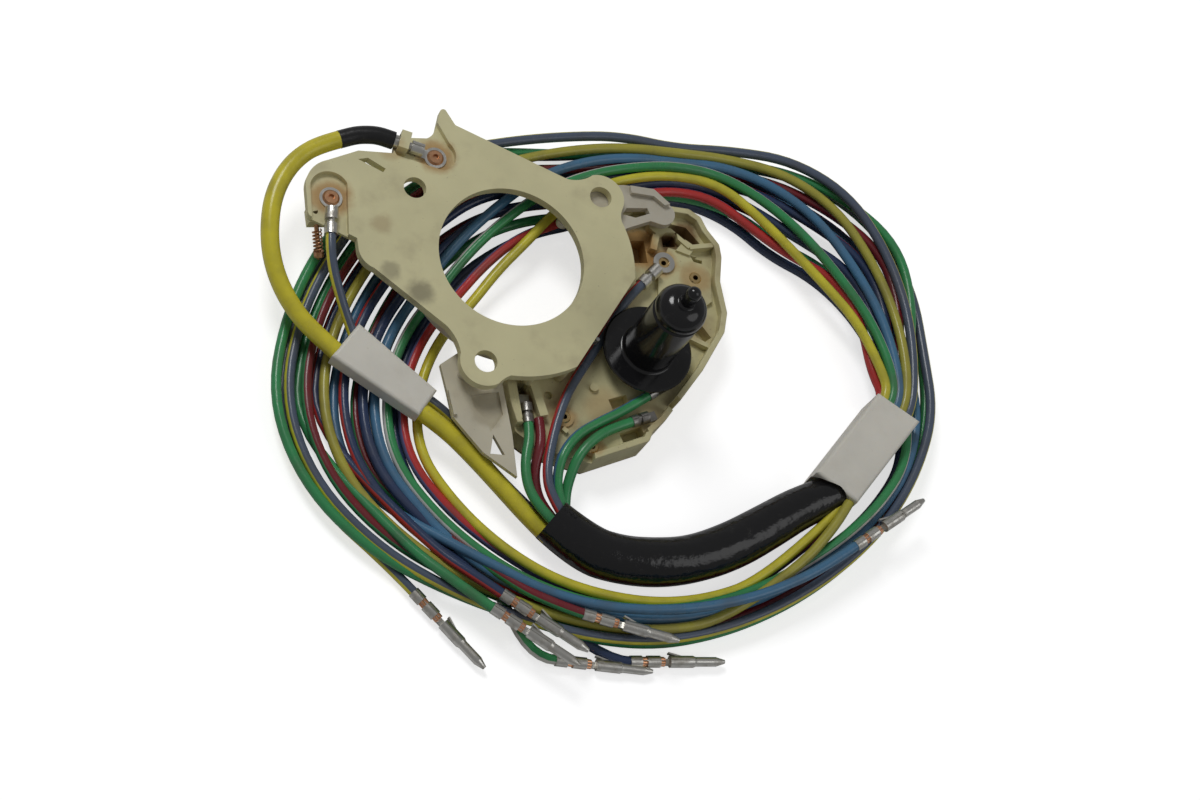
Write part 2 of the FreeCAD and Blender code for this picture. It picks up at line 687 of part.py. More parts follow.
def signal_yoke():
    thick = S["yoke_thick"]
    ring = cylinder("yoke_disc", S["yoke_outer_rad"], thick, 0, 0, YOKE_BOTTOM)
    arm = slab("yoke_arm", [
        (24.0, 4.0), (33.6, 9.4), (40.5, 11.5), (43.0, 10.6, 3.4), (47.2, 15.4), (42.6, 20.6), (35.0, 21.8),
        (27.0, 21.6), (15.0, 21.0),
    ], YOKE_BOTTOM, YOKE_TOP)
    rail = slab("yoke_rail", [
        (36.0, 19.0), (42.0, 18.0), (44.6, 15.4), (46.2, 15.8), (42.4, 20.0), (36.0, 21.0),
    ], YOKE_BOTTOM, YOKE_TOP + 1.4)
    tab_root = polar(number(S["yoke_outer_rad"]) - 1.5, S["drive_angle"])
    tab_end = polar(number(S["drive_rad"]) + 1.9, S["drive_angle"])
    tab = strip("yoke_tab", tab_root, tab_end, 4.0, YOKE_BOTTOM, YOKE_TOP)
    peg_x, peg_y = CARRIER_CENTRE
    peg_end = -(S["carrier_low"] - 1.0)
    peg = cylinder("yoke_peg", S["peg_dia"] * 0.5, YOKE_BOTTOM - peg_end, peg_x, peg_y, peg_end)
    tools = [cylinder("yoke_bore", S["yoke_inner_rad"], thick * 3, 0, 0, YOKE_BOTTOM - 1.0)]
    slot = [(33.0, 13.4), (36.5, 12.4), (40.6, 13.6), (40.2, 15.2), (34.4, 15.2)]
    tools.append(slab("yoke_slot", slot, YOKE_BOTTOM - 1.0, YOKE_TOP + 3.0))
    for i, offset in enumerate((-8.0, 0.0, 8.0)):
        notch_x, notch_y = polar(number(S["yoke_outer_rad"]) + 0.5, DETENT_ANGLE + offset)
        tools.append(cylinder("yoke_notch_%d" % i, 1.3, thick * 3, notch_x, notch_y, YOKE_BOTTOM - 1.0))
    blank = cut("yoke_blank", fuse("yoke_plate", [ring, arm, rail, tab, peg]), tools)
    fingers = []
    for i, angle in enumerate((35.0, 215.0)):
        tip_x, tip_y = polar(number(S["finger_rad"]) + 1.6, angle)
        fingers.append(cylinder("finger_tip_%d" % i, 1.6, thick, tip_x, tip_y, YOKE_BOTTOM))
        root = polar(23.0, angle)
        fingers.append(strip("finger_root_%d" % i, (tip_x, tip_y), root, 3.2, YOKE_BOTTOM, YOKE_TOP))
    return named(fuse("yoke", [blank] + fingers), "signal_yoke")


signal_yoke()


# Detent spring: a bent strip of spring steel that leans on the yoke's edge.

def detent_spring():
    way = turn(DETENT_ANGLE)
    low = YOKE_BOTTOM + S["free_gap"]
    high = YOKE_TOP - S["free_gap"]
    edge = number(S["yoke_outer_rad"])
    nose_x, nose_y = polar(edge + 0.85, DETENT_ANGLE)
    pieces = [cylinder("detent_nose", 0.9, high - low, nose_x, nose_y, low)]
    for i, side in enumerate((-1.0, 1.0)):
        start = way.multVec(Vector(edge + 0.9, side * 0.4, 0))
        end = way.multVec(Vector(edge + 2.4, side * 4.6, 0))
        pieces.append(strip("detent_leaf_%d" % i, start, end, S["sheet_metal"], low, high))
        pieces.append(cylinder("detent_foot_%d" % i, 0.5, PLATE_BOTTOM - low, end.x, end.y, low))
    return named(fuse("detent", pieces), "detent_spring")


detent_spring()


# Contact carrier in its channel, moved along by the drive peg, and its brass.

def carrier_part(name, radial, tangential, height, along, across, low):
    """A block in the channel, placed by its offset along and across the way the carrier moves."""
    spin = turn(S["drive_angle"])
    place = spin.multVec(Vector(across, along, 0)) + Vector(*CARRIER_CENTRE, 0)
    return centred_box(name, radial, tangential, height, place.x, place.y, low, S["drive_angle"])


def contact_carrier():
    low = -S["carrier_low"]
    block = carrier_part("carrier_block", 5.6, 10.0, S["carrier_tall"], 0.0, 0.0, low)
    slot = carrier_part("carrier_slot", 3.2, S["peg_dia"] + 0.5, 6.0, 0.0, 0.0, low - 0.6)
    return named(cut("carrier", block, [slot]), "contact_carrier")


def carrier_contacts():
    bridges = []
    for i, across in enumerate((-2.0, 2.0)):
        low = -(S["carrier_low"] + S["bridge_thick"])
        bridges.append(carrier_part("bridge_%d" % i, 1.2, 8.0, S["bridge_thick"], 0.0, across, low))
    return named(group("bridges", bridges), "carrier_contacts")


def fixed_contacts():
    strips = []
    for i, across in enumerate((-2.0, 2.0)):
        for j, along in enumerate((-5.4, 0.0, 5.4)):
            name = "fixed_strip_%d_%d" % (i, j)
            strips.append(carrier_part(name, 1.6, 4.0, S["sheet_metal"], along, across, CARRIER_FLOOR))
    return named(group("fixed_strips", strips), "fixed_contacts")


contact_carrier()
carrier_contacts()
fixed_contacts()


# Hazard knob, turned in one piece, with the slider pressed on its shank and the leaves it lifts off.

def hazard_knob():
    body = doc.addObject("PartDesign::Body", "KnobBody")
    sketch = body_sketch(body, "KnobOutline", "XZ_Plane")
    low = -(S["flange_depth"] + S["flange_thick"])
    top = S["stem_height"] - S["flange_depth"]
    points = [
        (0.0, -16.3),
        (S["shank_rad"] - 0.4, -16.3),
        (S["shank_rad"], -15.9),
        (S["shank_rad"], low),
        (S["flange_rad"] - 0.3, low),
        (S["flange_rad"], low + 0.3),
        (S["flange_rad"], -S["flange_depth"] - 0.3),
        (S["flange_rad"] - 0.4, -S["flange_depth"]),
        (S["stem_rad"] + 0.9, -S["flange_depth"], -0.9),
        (S["stem_rad"], -S["flange_depth"] + 0.9),
        (S["stem_rad"], top - 2.4),
        (S["stem_rad"] - 0.5, top - 1.9),
        (S["stem_rad"] - 0.5, top - 1.3),
        (S["stem_rad"], top - 0.8),
        (S["stem_rad"], top, 4.6),
        (S["nub_rad"] + 0.6, top + 4.0, -0.6),
        (S["nub_rad"], top + 4.6),
        (S["nub_rad"], top + 8.6, S["nub_rad"]),
        (0.0, top + 10.5),
    ]
    draw(sketch, points)
    turned = body.newObject("PartDesign::Revolution", "KnobTurned")
    turned.Profile = sketch
    turned.ReferenceAxis = (sketch, ["V_Axis"])
    turned.Angle = 360.0
    bind_place(body, S["knob_x"], S["knob_y"], 0)
    height = number(-S["flange_depth"]) + 5.0
    dimple_x = number(S["knob_x"]) + 0.6 * (number(S["stem_rad"]) - 0.8)
    dimple_y = number(S["knob_y"]) - 0.8 * (number(S["stem_rad"]) - 0.8)
    lean = Rotation(Vector(0, 0, 1), Vector(0.6, -0.8, 0))
    dimple = cylinder("knob_dimple", 1.5, 4.0, dimple_x, dimple_y, height, lean)
    return named(cut("knob", body, [dimple]), "hazard_knob")


def hazard_slider():
    disc = cylinder("slider_disc", S["slider_rad"], S["slider_thick"], S["knob_x"], S["knob_y"], SLIDER_LOW)
    bore_low = SLIDER_LOW - PAST
    bore = cylinder("slider_bore", S["shank_rad"], S["slider_thick"] * 3, S["knob_x"], S["knob_y"], bore_low)
    return named(cut("slider", disc, [bore]), "hazard_slider")


def hazard_contacts():
    leaves = []
    for i, side in enumerate((-1.0, 1.0)):
        leaf_x = S["knob_x"] + side * 4.6
        leaves.append(centred_box("leaf_%d" % i, 1.0, 3.2, S["sheet_metal"], leaf_x, S["knob_y"], BOARD_TOP))
    return named(group("leaves", leaves), "hazard_contacts")


hazard_knob()
hazard_slider()
hazard_contacts()


# Horn contact: head, stem and the coil spring round them.

def horn_contact_tip():
    head_rad = 1.3
    stem = horn_rod("tip_stem", S["horn_stem_rad"], -0.3, 7.6)
    head = horn_rod("tip_head", head_rad, 7.1, 1.4)
    place = along_horn(8.5)
    nose = cone("tip_nose", head_rad, 0.7, 0.7, place.x, place.y, place.z, HORN_TILT)
    return named(fuse("tip", [stem, head, nose]), "horn_contact_tip")


def horn_contact_spring():
    wire_rad = 0.175
    start = along_horn(1.65)
    helix = doc.addObject("Part::Helix", "horn_helix")
    helix.Pitch = 0.9
    helix.Height = 5.2
    helix.Radius = 1.1
    helix.SegmentLength = 1.0
    section = doc.addObject("Part::Circle", "horn_wire_section")
    section.Radius = wire_rad
    section.Placement = FreeCAD.Placement(Vector(1.1, 0, 0), Rotation(Vector(1, 0, 0), 90))
    doc.recompute()
    swept = doc.addObject("Part::Sweep", "horn_coil")
    swept.Sections = [section]
    swept.Spine = (helix, ["Edge%d" % (i + 1) for i in range(len(helix.Shape.Edges))])
    swept.Solid = True
    swept.Frenet = True
    swept.Placement = FreeCAD.Placement(start, HORN_TILT)
    return named(swept, "horn_contact_spring")


horn_contact_tip()
horn_contact_spring()


# Terminals: a flat eyelet ring, a neck and two crimped barrels, the second one on the wire's insulation.

TERMINAL_RING_RAD = 2.9
TERMINAL_HOLE_RAD = 1.5
NECK_LENGTH = 3.4
NECK_WIDTH = 2.6
STRANDS_RAD = 1.0
SEAM_WIDTH = 0.4
SEAM_DEPTH = 0.7
BEAD_STEP = 0.25


def barrel(name, place, way, radius, length):
    """A crimped barrel lying along way, split along its top where its two wings meet."""
    lying = turn(math.degrees(math.atan2(way.y, way.x))) * Rotation(Vector(0, 1, 0), 90)
    tilt = Rotation(Vector(0, 0, 1), way)
    sleeve = cylinder(name + "_sleeve", radius, length, place.x, place.y, place.z, tilt)
    across = Vector(-way.y, way.x, 0).normalize()
    seam = place - across * (SEAM_WIDTH / 2) + Vector(0, 0, number(radius) + 0.1)
    groove = box(name + "_seam", SEAM_DEPTH, SEAM_WIDTH, length, seam.x, seam.y, seam.z, lying)
    core = cylinder(name + "_core", radius - BEAD_STEP, length, place.x, place.y, place.z, tilt)
    return fuse(name, [cut(name + "_wings", sleeve, [groove]), core])


def crimped_run(name, origin, way, low, radius, runs):
    """Barrels and bare strands in one line; each run is (kind, distance from the origin, length)."""
    tilt = Rotation(Vector(0, 0, 1), way)
    solids = []
    for i, (kind, start, length) in enumerate(runs):
        place = origin + way * start + Vector(0, 0, number(low) + number(radius))
        part = "%s_%s_%d" % (name, kind, i)
        if kind == "strands":
            solids.append(cylinder(part, STRANDS_RAD, length, place.x, place.y, place.z, tilt))
        else:
            solids.append(barrel(part, place, way, radius, length))
    return solids


def ring_terminal(name, x, y, way, low, reach):
    """A terminal lying flat at height low, pointing along way, its wire end at reach from the ring."""
    angle = math.degrees(math.atan2(way.y, way.x))
    sheet_thick = S["sheet_metal"]
    parts = [cylinder(name + "_ring", TERMINAL_RING_RAD, sheet_thick, x, y, low)]
    neck_x = x + way.x * NECK_LENGTH
    neck_y = y + way.y * NECK_LENGTH
    neck = centred_box(name + "_neck", NECK_LENGTH, NECK_WIDTH, sheet_thick, neck_x, neck_y, low, angle)
    parts.append(neck)
    runs = (("crimp", 3.6, 3.2), ("strands", 6.7, 1.5), ("grip", 8.1, reach - 8.1))
    parts += crimped_run(name, Vector(number(x), number(y), 0), way, low, BARREL_RAD, runs)
    web_x = x + way.x * 7.4
    web_y = y + way.y * 7.4
    parts.append(centred_box(name + "_web", 2.0, 2.0, sheet_thick * 2, web_x, web_y, low, angle))
    hole = cylinder(name + "_hole", TERMINAL_HOLE_RAD, 4.0, x, y, low - PAST)
    return cut(name, fuse(name + "_solid", parts), [hole])


def plain_terminal(name, start, end, low):
    """A flat blade with two crimped barrels from start to end, seen from its blade."""
    origin = Vector(*start, 0)
    way = Vector(*end, 0) - origin
    reach = way.Length
    way.normalize()
    angle = math.degrees(math.atan2(way.y, way.x))
    middle = origin + way * 1.6
    blade = centred_box(name + "_blade", 3.4, 2.4, S["sheet_metal"], middle.x, middle.y, low, angle)
    runs = (("crimp", 2.8, 2.2), ("strands", 4.8, 1.2), ("grip", 5.8, reach - 5.8))
    return fuse(name, [blade] + crimped_run(name, origin, way, low, THIN_BARREL_RAD, runs))


named(ring_terminal("left_terminal", S["horn_left_x"], S["horn_left_y"], LEFT_WAY, POCKET_TOP, 10.9),
      "horn_terminal_left")
named(ring_terminal("top_terminal", S["horn_top_x"], S["horn_top_y"], TOP_WIRE_WAY, POCKET_TOP, 11.4),
      "horn_terminal_top")
named(ring_terminal("right_terminal", *EYELETS[0], RIGHT_WAY, eyelet_seat(0) + 0.3, 10.7),
      "body_terminal_right")


def horn_eyelets():
    rings = []
    for i, (x, y) in enumerate(((S["horn_left_x"], S["horn_left_y"]), (S["horn_top_x"], S["horn_top_y"]))):
        seat = POCKET_TOP + S["sheet_metal"]
        barrel = cylinder("horn_barrel_%d" % i, TERMINAL_HOLE_RAD, S["sheet_metal"] + 0.3, x, y, POCKET_TOP)
        flange = cone("horn_flange_%d" % i, 2.2, 1.7, 0.5, x, y, seat)
        bore = cylinder("horn_bore_%d" % i, 0.8, 4.0, x, y, seat - 0.2)
        rings.append(cut("horn_eyelet_%d" % i, fuse("horn_eyelet_solid_%d" % i, [barrel, flange]), [bore]))
    return named(group("horn_eyelet_group", rings), "horn_eyelets")


horn_eyelets()


# Cords: straight runs joined by tangent arcs along the hand chosen points.

CORDS = []


def tube(name, points, diameter):
    places = [Vector(*point) for point in points]
    edges = []
    at = places[0]
    radii = []
    for before, corner, after in zip(places, places[1:], places[2:]):
        first = (corner - before).normalize()
        second = (after - corner).normalize()
        half = first.getAngle(second) / 2
        setback = 0.45 * min((corner - before).Length, (after - corner).Length)
        radius = setback / math.tan(half)
        radii.append(radius)
        start = corner - first * setback
        end = corner + second * setback
        inward = (second - first).normalize()
        middle = corner + inward * (radius / math.cos(half) - radius)
        edges.append(Part.LineSegment(at, start).toShape())
        edges.append(Part.Arc(start, middle, end).toShape())
        at = end
    edges.append(Part.LineSegment(at, places[-1]).toShape())
    path = doc.addObject("Part::Feature", name + "_path")
    path.Shape = Part.Wire(edges)
    section = doc.addObject("Part::Circle", name + "_section")
    bind(section, "Radius", diameter * 0.5)
    section.Placement = FreeCAD.Placement(places[0], Rotation(Vector(0, 0, 1), places[1] - places[0]))
    swept = doc.addObject("Part::Sweep", name + "_swept")
    swept.Sections = [section]
    swept.Spine = (path, ["Edge%d" % (i + 1) for i in range(len(edges))])
    swept.Solid = True
    print("%s length %.1f least radius %.1f" % (name, path.Shape.Length, min(radii)))
    CORDS.append((swept, path.Shape.Length, diameter))
    return named(swept, name)


THIN = S["wire_dia"]
THICK = S["horn_wire_dia"]

LEAD_RED = [
    (36.17, -5.06, -6.3), (31.8, -8.8, -6.3), (27.6, -14.0, -7.0), (22.8, -20.2, -7.2), (17.4, -26.8, -7.2),
    (12.0, -33.6, -7.2), (8.0, -41.0, -7.2), (5.2, -48.2, -7.7), (3.2, -54.6, -8.0), (3.2, -60.6, -8.2),
    (6.0, -66.8, -8.3),
]
LEAD_BLUE = [
    (33.4, -35.2, -8.0), (26.6, -38.9, -8.0), (19.4, -41.9, -8.0), (13.2, -44.9, -7.9), (8.4, -49.6, -7.9),
    (6.4, -54.8, -9.4), (6.1, -60.0, -10.6), (7.3, -65.6, -10.9),
]
LEAD_GREEN = [
    (27.8, -42.2, -8.0), (22.6, -43.7, -8.0), (17.2, -46.4, -7.2), (12.4, -50.4, -7.6), (9.8, -55.5, -10.0),
    (8.6, -60.0, -12.6), (8.3, -65.0, -13.8),
]
LEAD_GREEN_LEFT = [
    (0.4, -41.8, -8.0), (0.2, -45.8, -8.0), (-1.4, -50.0, -8.1), (-2.2, -54.6, -8.4), (-1.8, -59.4, -8.6),
    (0.4, -64.2, -8.6), (3.9, -68.7, -8.6),
]
LEAD_DARK_RED = [
    (3.3, -40.6, -8.15), (3.38, -44.6, -8.15), (2.3, -48.8, -8.15), (0.9, -53.2, -10.0), (0.8, -57.9, -11.2),
    (2.0, -62.8, -11.4), (5.2, -67.5, -11.4),
]
HEAT_SHRINK = [(-26.5, 32.04, 0.1), (-30.72, 33.59, 0.1), (-35.6, 33.8, -0.3), (-40.4, 32.6, -0.8)]
HORN_UPPER = [
    (-40.4, 32.6, -0.8), (-45.7, 31.28, -1.35), (-51.0, 28.1, -1.5), (-55.3, 23.4, -1.7), (-58.6, 17.2, -2.2),
    (-60.1, 10.2, -3.2), (-60.3, 3.2, -4.5), (-58.9, -3.7, -5.8), (-55.9, -10.2, -7.1), (-51.5, -16.0, -8.1),
    (-45.4, -22.0, -8.7),
]
HORN_LOWER = [
    (-27.2, -37.2, -8.7), (-20.6, -41.4, -10.5), (-13.9, -49.2, -11.0), (-7.4, -57.6, -11.6),
    (-2.0, -64.6, -12.3), (2.7, -70.2, -12.5),
]
FEED_UPPER = [
    (-45.94, 5.82, 0.1), (-46.4, 2.78, 0.1), (-46.2, -2.7, -1.2), (-44.3, -9.3, -4.2), (-42.4, -14.0, -7.0),
    (-40.8, -18.2, -8.7),
]
FEED_LOWER = [
    (-24.6, -34.0, -9.2), (-18.9, -37.2, -11.2), (-13.4, -45.0, -13.4), (-7.6, -53.2, -14.2),
    (-1.7, -60.0, -14.8), (4.8, -67.6, -14.8),
]
SLEEVE = [
    (3.7, -66.1, -11.7), (11.3, -74.0, -11.7), (20.1, -77.2, -11.7), (29.4, -78.4, -11.7),
    (38.9, -78.0, -11.7), (50.0, -75.1, -11.7), (61.6, -69.9, -11.7), (72.0, -64.9, -11.7),
    (82.0, -61.8, -11.7),
]

for cord_name, cord_points, cord_diameter in (
    ("lead_red", LEAD_RED, THIN), ("lead_blue", LEAD_BLUE, THIN), ("lead_green", LEAD_GREEN, THIN),
    ("lead_green_left", LEAD_GREEN_LEFT, THIN), ("lead_dark_red", LEAD_DARK_RED, THIN),
    ("heat_shrink", HEAT_SHRINK, THICK), ("horn_wire_upper", HORN_UPPER, THICK),
    ("horn_wire_lower", HORN_LOWER, THICK), ("feed_wire_upper", FEED_UPPER, THIN),
    ("feed_wire_lower", FEED_LOWER, THIN),
):
    tube(cord_name, cord_points, cord_diameter)


def cord(label):
    return next(obj for obj in NODES if obj.Label == label)


def tape_sleeve():
    node = tube("sleeve_blank", SLEEVE, S["sleeve_dia"])
    NODES.remove(node)
    entering = ("lead_red", "lead_blue", "lead_green", "lead_green_left", "lead_dark_red", "horn_wire_lower",
                "feed_wire_lower")
    bores = [cord(label) for label in entering]
    return named(cut("sleeve_cut", node, bores), "tape_sleeve")


LABEL_EDGE_RAD = 0.9


def paper_label(name, corners, low, high, bores):
    block = slab(name + "_block", corners, low, high)
    rounded = round_edges(name + "_rounded", block, LABEL_EDGE_RAD, lambda edge: not upright(edge))
    return cut(name + "_cut", rounded, bores)


tape_sleeve()
LEFT_LABEL = [(-39.8, -15.0), (-47.8, -23.7), (-27.9, -39.7), (-22.4, -33.2)]
held_wires = ("horn_wire_upper", "horn_wire_lower", "feed_wire_upper", "feed_wire_lower")
left_bores = [cord(label) for label in held_wires]
named(paper_label("left_label", LEFT_LABEL, -11.2, -6.0, left_bores), "label_left")
RIGHT_LABEL = [(84.8, -66.6), (107.4, -44.9), (97.2, -36.6), (74.9, -58.1)]
named(paper_label("right_label", RIGHT_LABEL, -17.5, -5.4, [cord("tape_sleeve")]), "label_right")


# Terminals at the body's ends of the leads.

def lead_terminal(name, points, reach):
    """A blade terminal in line with a lead's first run, its barrel meeting the lead's end."""
    end = Vector(*points[0])
    way = (Vector(*points[1]) - end).normalize()
    start = end - way * reach
    low = -(THIN_BARREL_RAD - points[0][2])
    return plain_terminal(name, (start.x, start.y), (end.x, end.y), low)


named(lead_terminal("blue_terminal", LEAD_BLUE, 8.2), "terminal_blue")
named(lead_terminal("green_terminal", LEAD_GREEN, 7.6), "terminal_green")
named(lead_terminal("slot_terminal", LEAD_GREEN_LEFT, 8.0), "slot_terminals")


# Wire guard: a thin white moulding with a recessed window, held by two posts under the plate's low ear.

def wire_guard():
    sheet_body = slab("guard_sheet", [
        (-19.9, -33.5), (-20.6, -26.3), (-15.3, -23.1), (-14.0, -29.0), (-5.4, -31.0), (-4.8, -45.0),
        (-5.2, -56.5), (-7.5, -54.5), (-13.0, -49.8), (-19.4, -40.2),
    ], GUARD_BOTTOM, GUARD_TOP)
    posts = []
    for i, (x, y, radius) in enumerate(((-15.4, -29.2, 1.3), (-7.2, -32.0, 1.2))):
        posts.append(cylinder("guard_post_%d" % i, radius, PLATE_BOTTOM - GUARD_BOTTOM, x, y, GUARD_BOTTOM))
    rim = strip("guard_rim", (-19.4, -33.5), (-18.9, -40.0), 0.9, GUARD_TOP - 0.2, GUARD_TOP + 1.0)
    window = slab("guard_window", [
        (-14.0, -34.6), (-6.6, -34.0), (-6.4, -40.0), (-10.3, -44.6), (-10.9, -41.6), (-13.5, -38.0),
    ], GUARD_TOP - 0.7, GUARD_TOP + 0.5)
    gap_corners = [(-9.7, -45.2), (-11.2, -50.2), (-7.5, -50.7)]
    gap = slab("guard_gap", gap_corners, GUARD_BOTTOM - PAST, GUARD_TOP + PAST)
    return named(cut("guard", fuse("guard_parts", [sheet_body, rim] + posts), [window, gap]), "wire_guard")


wire_guard()


# Coiled harness: a closed ring solid with the coil's outer shape.

COIL_OUTER = [
    (-65.0, -33.5), (-49.9, 6.7), (-14.4, 38.2), (24.4, 40.6), (74.0, 36.1), (100.9, 31.6), (117.5, 2.9),
    (118.0, -21.6), (107.0, -58.0), (80.0, -83.1), (35.6, -99.2), (-12.5, -91.6), (-29.5, -80.9),
    (-44.0, -71.8), (-60.0, -54.7),
]
COIL_INNER = [
    (-22.0, -33.0), (-24.0, -46.0), (-17.0, -60.0), (-8.0, -72.0), (5.0, -81.4), (29.0, -87.4), (53.0, -84.4),
    (70.0, -77.0), (86.6, -68.9), (98.8, -56.2), (109.6, -45.6), (105.0, -38.4), (96.8, -32.6), (94.4, -14.5),
    (80.0, 1.5), (65.7, 19.5), (52.0, 23.4), (38.0, 21.4), (24.0, 14.4), (9.0, 4.0), (-4.0, -7.6),
    (-15.6, -20.4),
]


def ring_face(outer, inner):
    wires = []
    for points in (outer, inner):
        curve = Part.BSplineCurve()
        curve.interpolate(Points=[Vector(x, y, 0) for x, y in points], PeriodicFlag=True)
        wires.append(Part.Wire([curve.toShape()]))
    return Part.Face(wires[0]).cut(Part.Face(wires[1])).Faces[0]


COIL_LEFT = -65.0
COIL_LENGTH = 185.0
PAST_COIL = 15.0


def wire_coil():
    face = doc.addObject("Part::Feature", "coil_face")
    face.Shape = ring_face(COIL_OUTER, COIL_INNER)
    bind_place(face, 0, 0, FLOOR)
    block = doc.addObject("Part::Extrusion", "coil_block")
    block.Base = face
    block.DirMode = "Custom"
    block.Dir = Vector(0, 0, 1)
    block.Solid = True
    bind(block, "LengthFwd", S["coil_high"])
    rise = (S["coil_high"] - S["coil_low"]) / COIL_LENGTH
    lean = math.degrees(math.atan(number(rise)))
    left = COIL_LEFT - PAST_COIL
    height = FLOOR + S["coil_low"] - rise * PAST_COIL
    lid = box("coil_lid", 260.0, 220.0, 20.0, left, -130.0, height, Rotation(Vector(0, 1, 0), -lean))
    least = number(FLOOR) + number(S["coil_low"]) - 1.1
    rounded = round_edges("coil", cut("coil_cut", block, [lid]), 1.0, lambda edge: edge.BoundBox.ZMin > least)
    return named(rounded, "wire_coil")


wire_coil()


# Pin terminals: a grip on the insulation, bare strands, a crimp and a tapered pin with a rounded nose.

PIN_TERMINALS = (
    ((-32.3, -81.4, -16.2), (-15.1, -104.2, -16.2)),
    ((-12.6, -85.2, -9.1), (8.2, -101.6, -9.1)),
    ((0.9, -100.4, -16.2), (30.9, -105.7, -16.2)),
    ((20.0, -101.9, -16.2), (44.6, -103.4, -16.2)),
    ((7.0, -91.4, -8.7), (28.8, -98.9, -8.7)),
    ((82.4, -77.8, -7.35), (102.6, -67.1, -7.35)),
    ((-15.5, -88.6, -9.1), (5.3, -105.0, -9.1)),
)


TANG_LEAN = -16.0
PIN_RUNS = (
    ("grip", 0.0, 3.0),
    ("strands", 2.9, 1.6),
    ("crimp", 4.4, 3.4),
    ("strands", 7.7, 1.0),
    ("body", 10.4, 6.2),
)
PIN_START = 17.2


def pin_terminal(name, start, end):
    origin = Vector(start[0], start[1], 0)
    level = start[2]
    way = (Vector(end[0], end[1], 0) - origin).normalize()
    angle = math.degrees(math.atan2(way.y, way.x))
    tilt = Rotation(Vector(0, 0, 1), way)
    radius = S["pin_dia"] * 0.5
    low = level - number(THIN_BARREL_RAD)
    parts = crimped_run(name, origin, way, low, THIN_BARREL_RAD, PIN_RUNS)
    neck = origin + way * 9.4
    sheet_thick = S["sheet_metal"]
    parts.append(centred_box(name + "_neck", 3.6, 1.6, sheet_thick * 2, neck.x, neck.y, level - 1.0, angle))
    shoulder = origin + way * 16.5
    parts.append(cone(name + "_shoulder", THIN_BARREL_RAD, radius, 0.8, shoulder.x, shoulder.y, level, tilt))
    shaft = origin + way * PIN_START
    shaft_length = S["pin_length"] - PIN_START + 7.7
    parts.append(cylinder(name + "_pin", radius, shaft_length, shaft.x, shaft.y, level, tilt))
    nose = origin + way * (number(S["pin_length"]) + 7.6)
    parts.append(cone(name + "_nose", radius, 0.5, 2.4, nose.x, nose.y, level, tilt))
    tang = origin + way * 12.4 + Vector(-way.y, way.x, 0) * 1.5
    tang_angle = angle + TANG_LEAN
    parts.append(centred_box(name + "_tang", 4.6, sheet_thick, 1.2, tang.x, tang.y, level - 0.6, tang_angle))
    return fuse(name, parts)


pins = [pin_terminal("pin_%d" % (i + 1), start, end) for i, (start, end) in enumerate(PIN_TERMINALS)]
named(group("pin_group", pins), "pin_terminals")

doc.recompute()
for item in doc.Objects:
    if "Invalid" in item.State or "Error" in item.State:
        raise RuntimeError("%s did not build" % item.Name)
for swept, length, diameter in CORDS:
    wanted = math.pi * number(diameter) ** 2 / 4 * length
    if abs(swept.Shape.Volume - wanted) > 0.02 * wanted:
        raise RuntimeError("%s is folded" % swept.Label)
os.makedirs("parts", exist_ok=True)
for node in NODES:
    if node.Shape.isNull() or not node.Shape.isValid() or node.Shape.Volume <= 0:
        raise RuntimeError("%s is not a valid solid" % node.Label)
    node.Shape.exportStep("parts/%s.step" % node.Label)
print("%d nodes written" % len(NODES))
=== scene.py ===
import math
from collections import namedtuple

import bmesh
import bpy
from mathutils import Matrix, Vector


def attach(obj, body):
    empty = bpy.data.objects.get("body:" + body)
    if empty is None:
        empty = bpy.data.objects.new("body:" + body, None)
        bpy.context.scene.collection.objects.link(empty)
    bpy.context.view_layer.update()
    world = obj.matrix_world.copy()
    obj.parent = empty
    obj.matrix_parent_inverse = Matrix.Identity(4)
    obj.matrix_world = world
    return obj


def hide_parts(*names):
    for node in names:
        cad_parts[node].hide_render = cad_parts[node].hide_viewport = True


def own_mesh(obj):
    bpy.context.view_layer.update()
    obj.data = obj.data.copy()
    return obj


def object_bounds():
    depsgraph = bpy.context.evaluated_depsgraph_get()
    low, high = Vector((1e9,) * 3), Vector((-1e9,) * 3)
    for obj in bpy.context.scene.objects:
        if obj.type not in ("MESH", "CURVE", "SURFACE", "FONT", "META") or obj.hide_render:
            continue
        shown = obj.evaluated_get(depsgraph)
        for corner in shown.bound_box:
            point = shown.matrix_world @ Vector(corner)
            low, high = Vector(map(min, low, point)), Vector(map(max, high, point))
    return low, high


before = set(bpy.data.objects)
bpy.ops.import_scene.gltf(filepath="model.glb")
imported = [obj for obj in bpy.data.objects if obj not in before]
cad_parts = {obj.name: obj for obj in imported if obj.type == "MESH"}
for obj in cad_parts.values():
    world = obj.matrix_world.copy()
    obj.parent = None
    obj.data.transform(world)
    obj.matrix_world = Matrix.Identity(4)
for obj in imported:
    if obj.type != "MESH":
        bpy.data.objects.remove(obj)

cad_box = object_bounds()
MM = 0.001


# Camera at the photograph's place, from the round shaft hole and the knob's axis.

SENSOR_WIDTH = 36.0
LENS = 78.0
CAMERA_PLACE = (-0.21265, -0.26697, 0.55478)
CAMERA_RIGHT = (0.933643, -0.155322, 0.322777)
CAMERA_FORWARD = (0.357658, 0.354496, -0.863952)


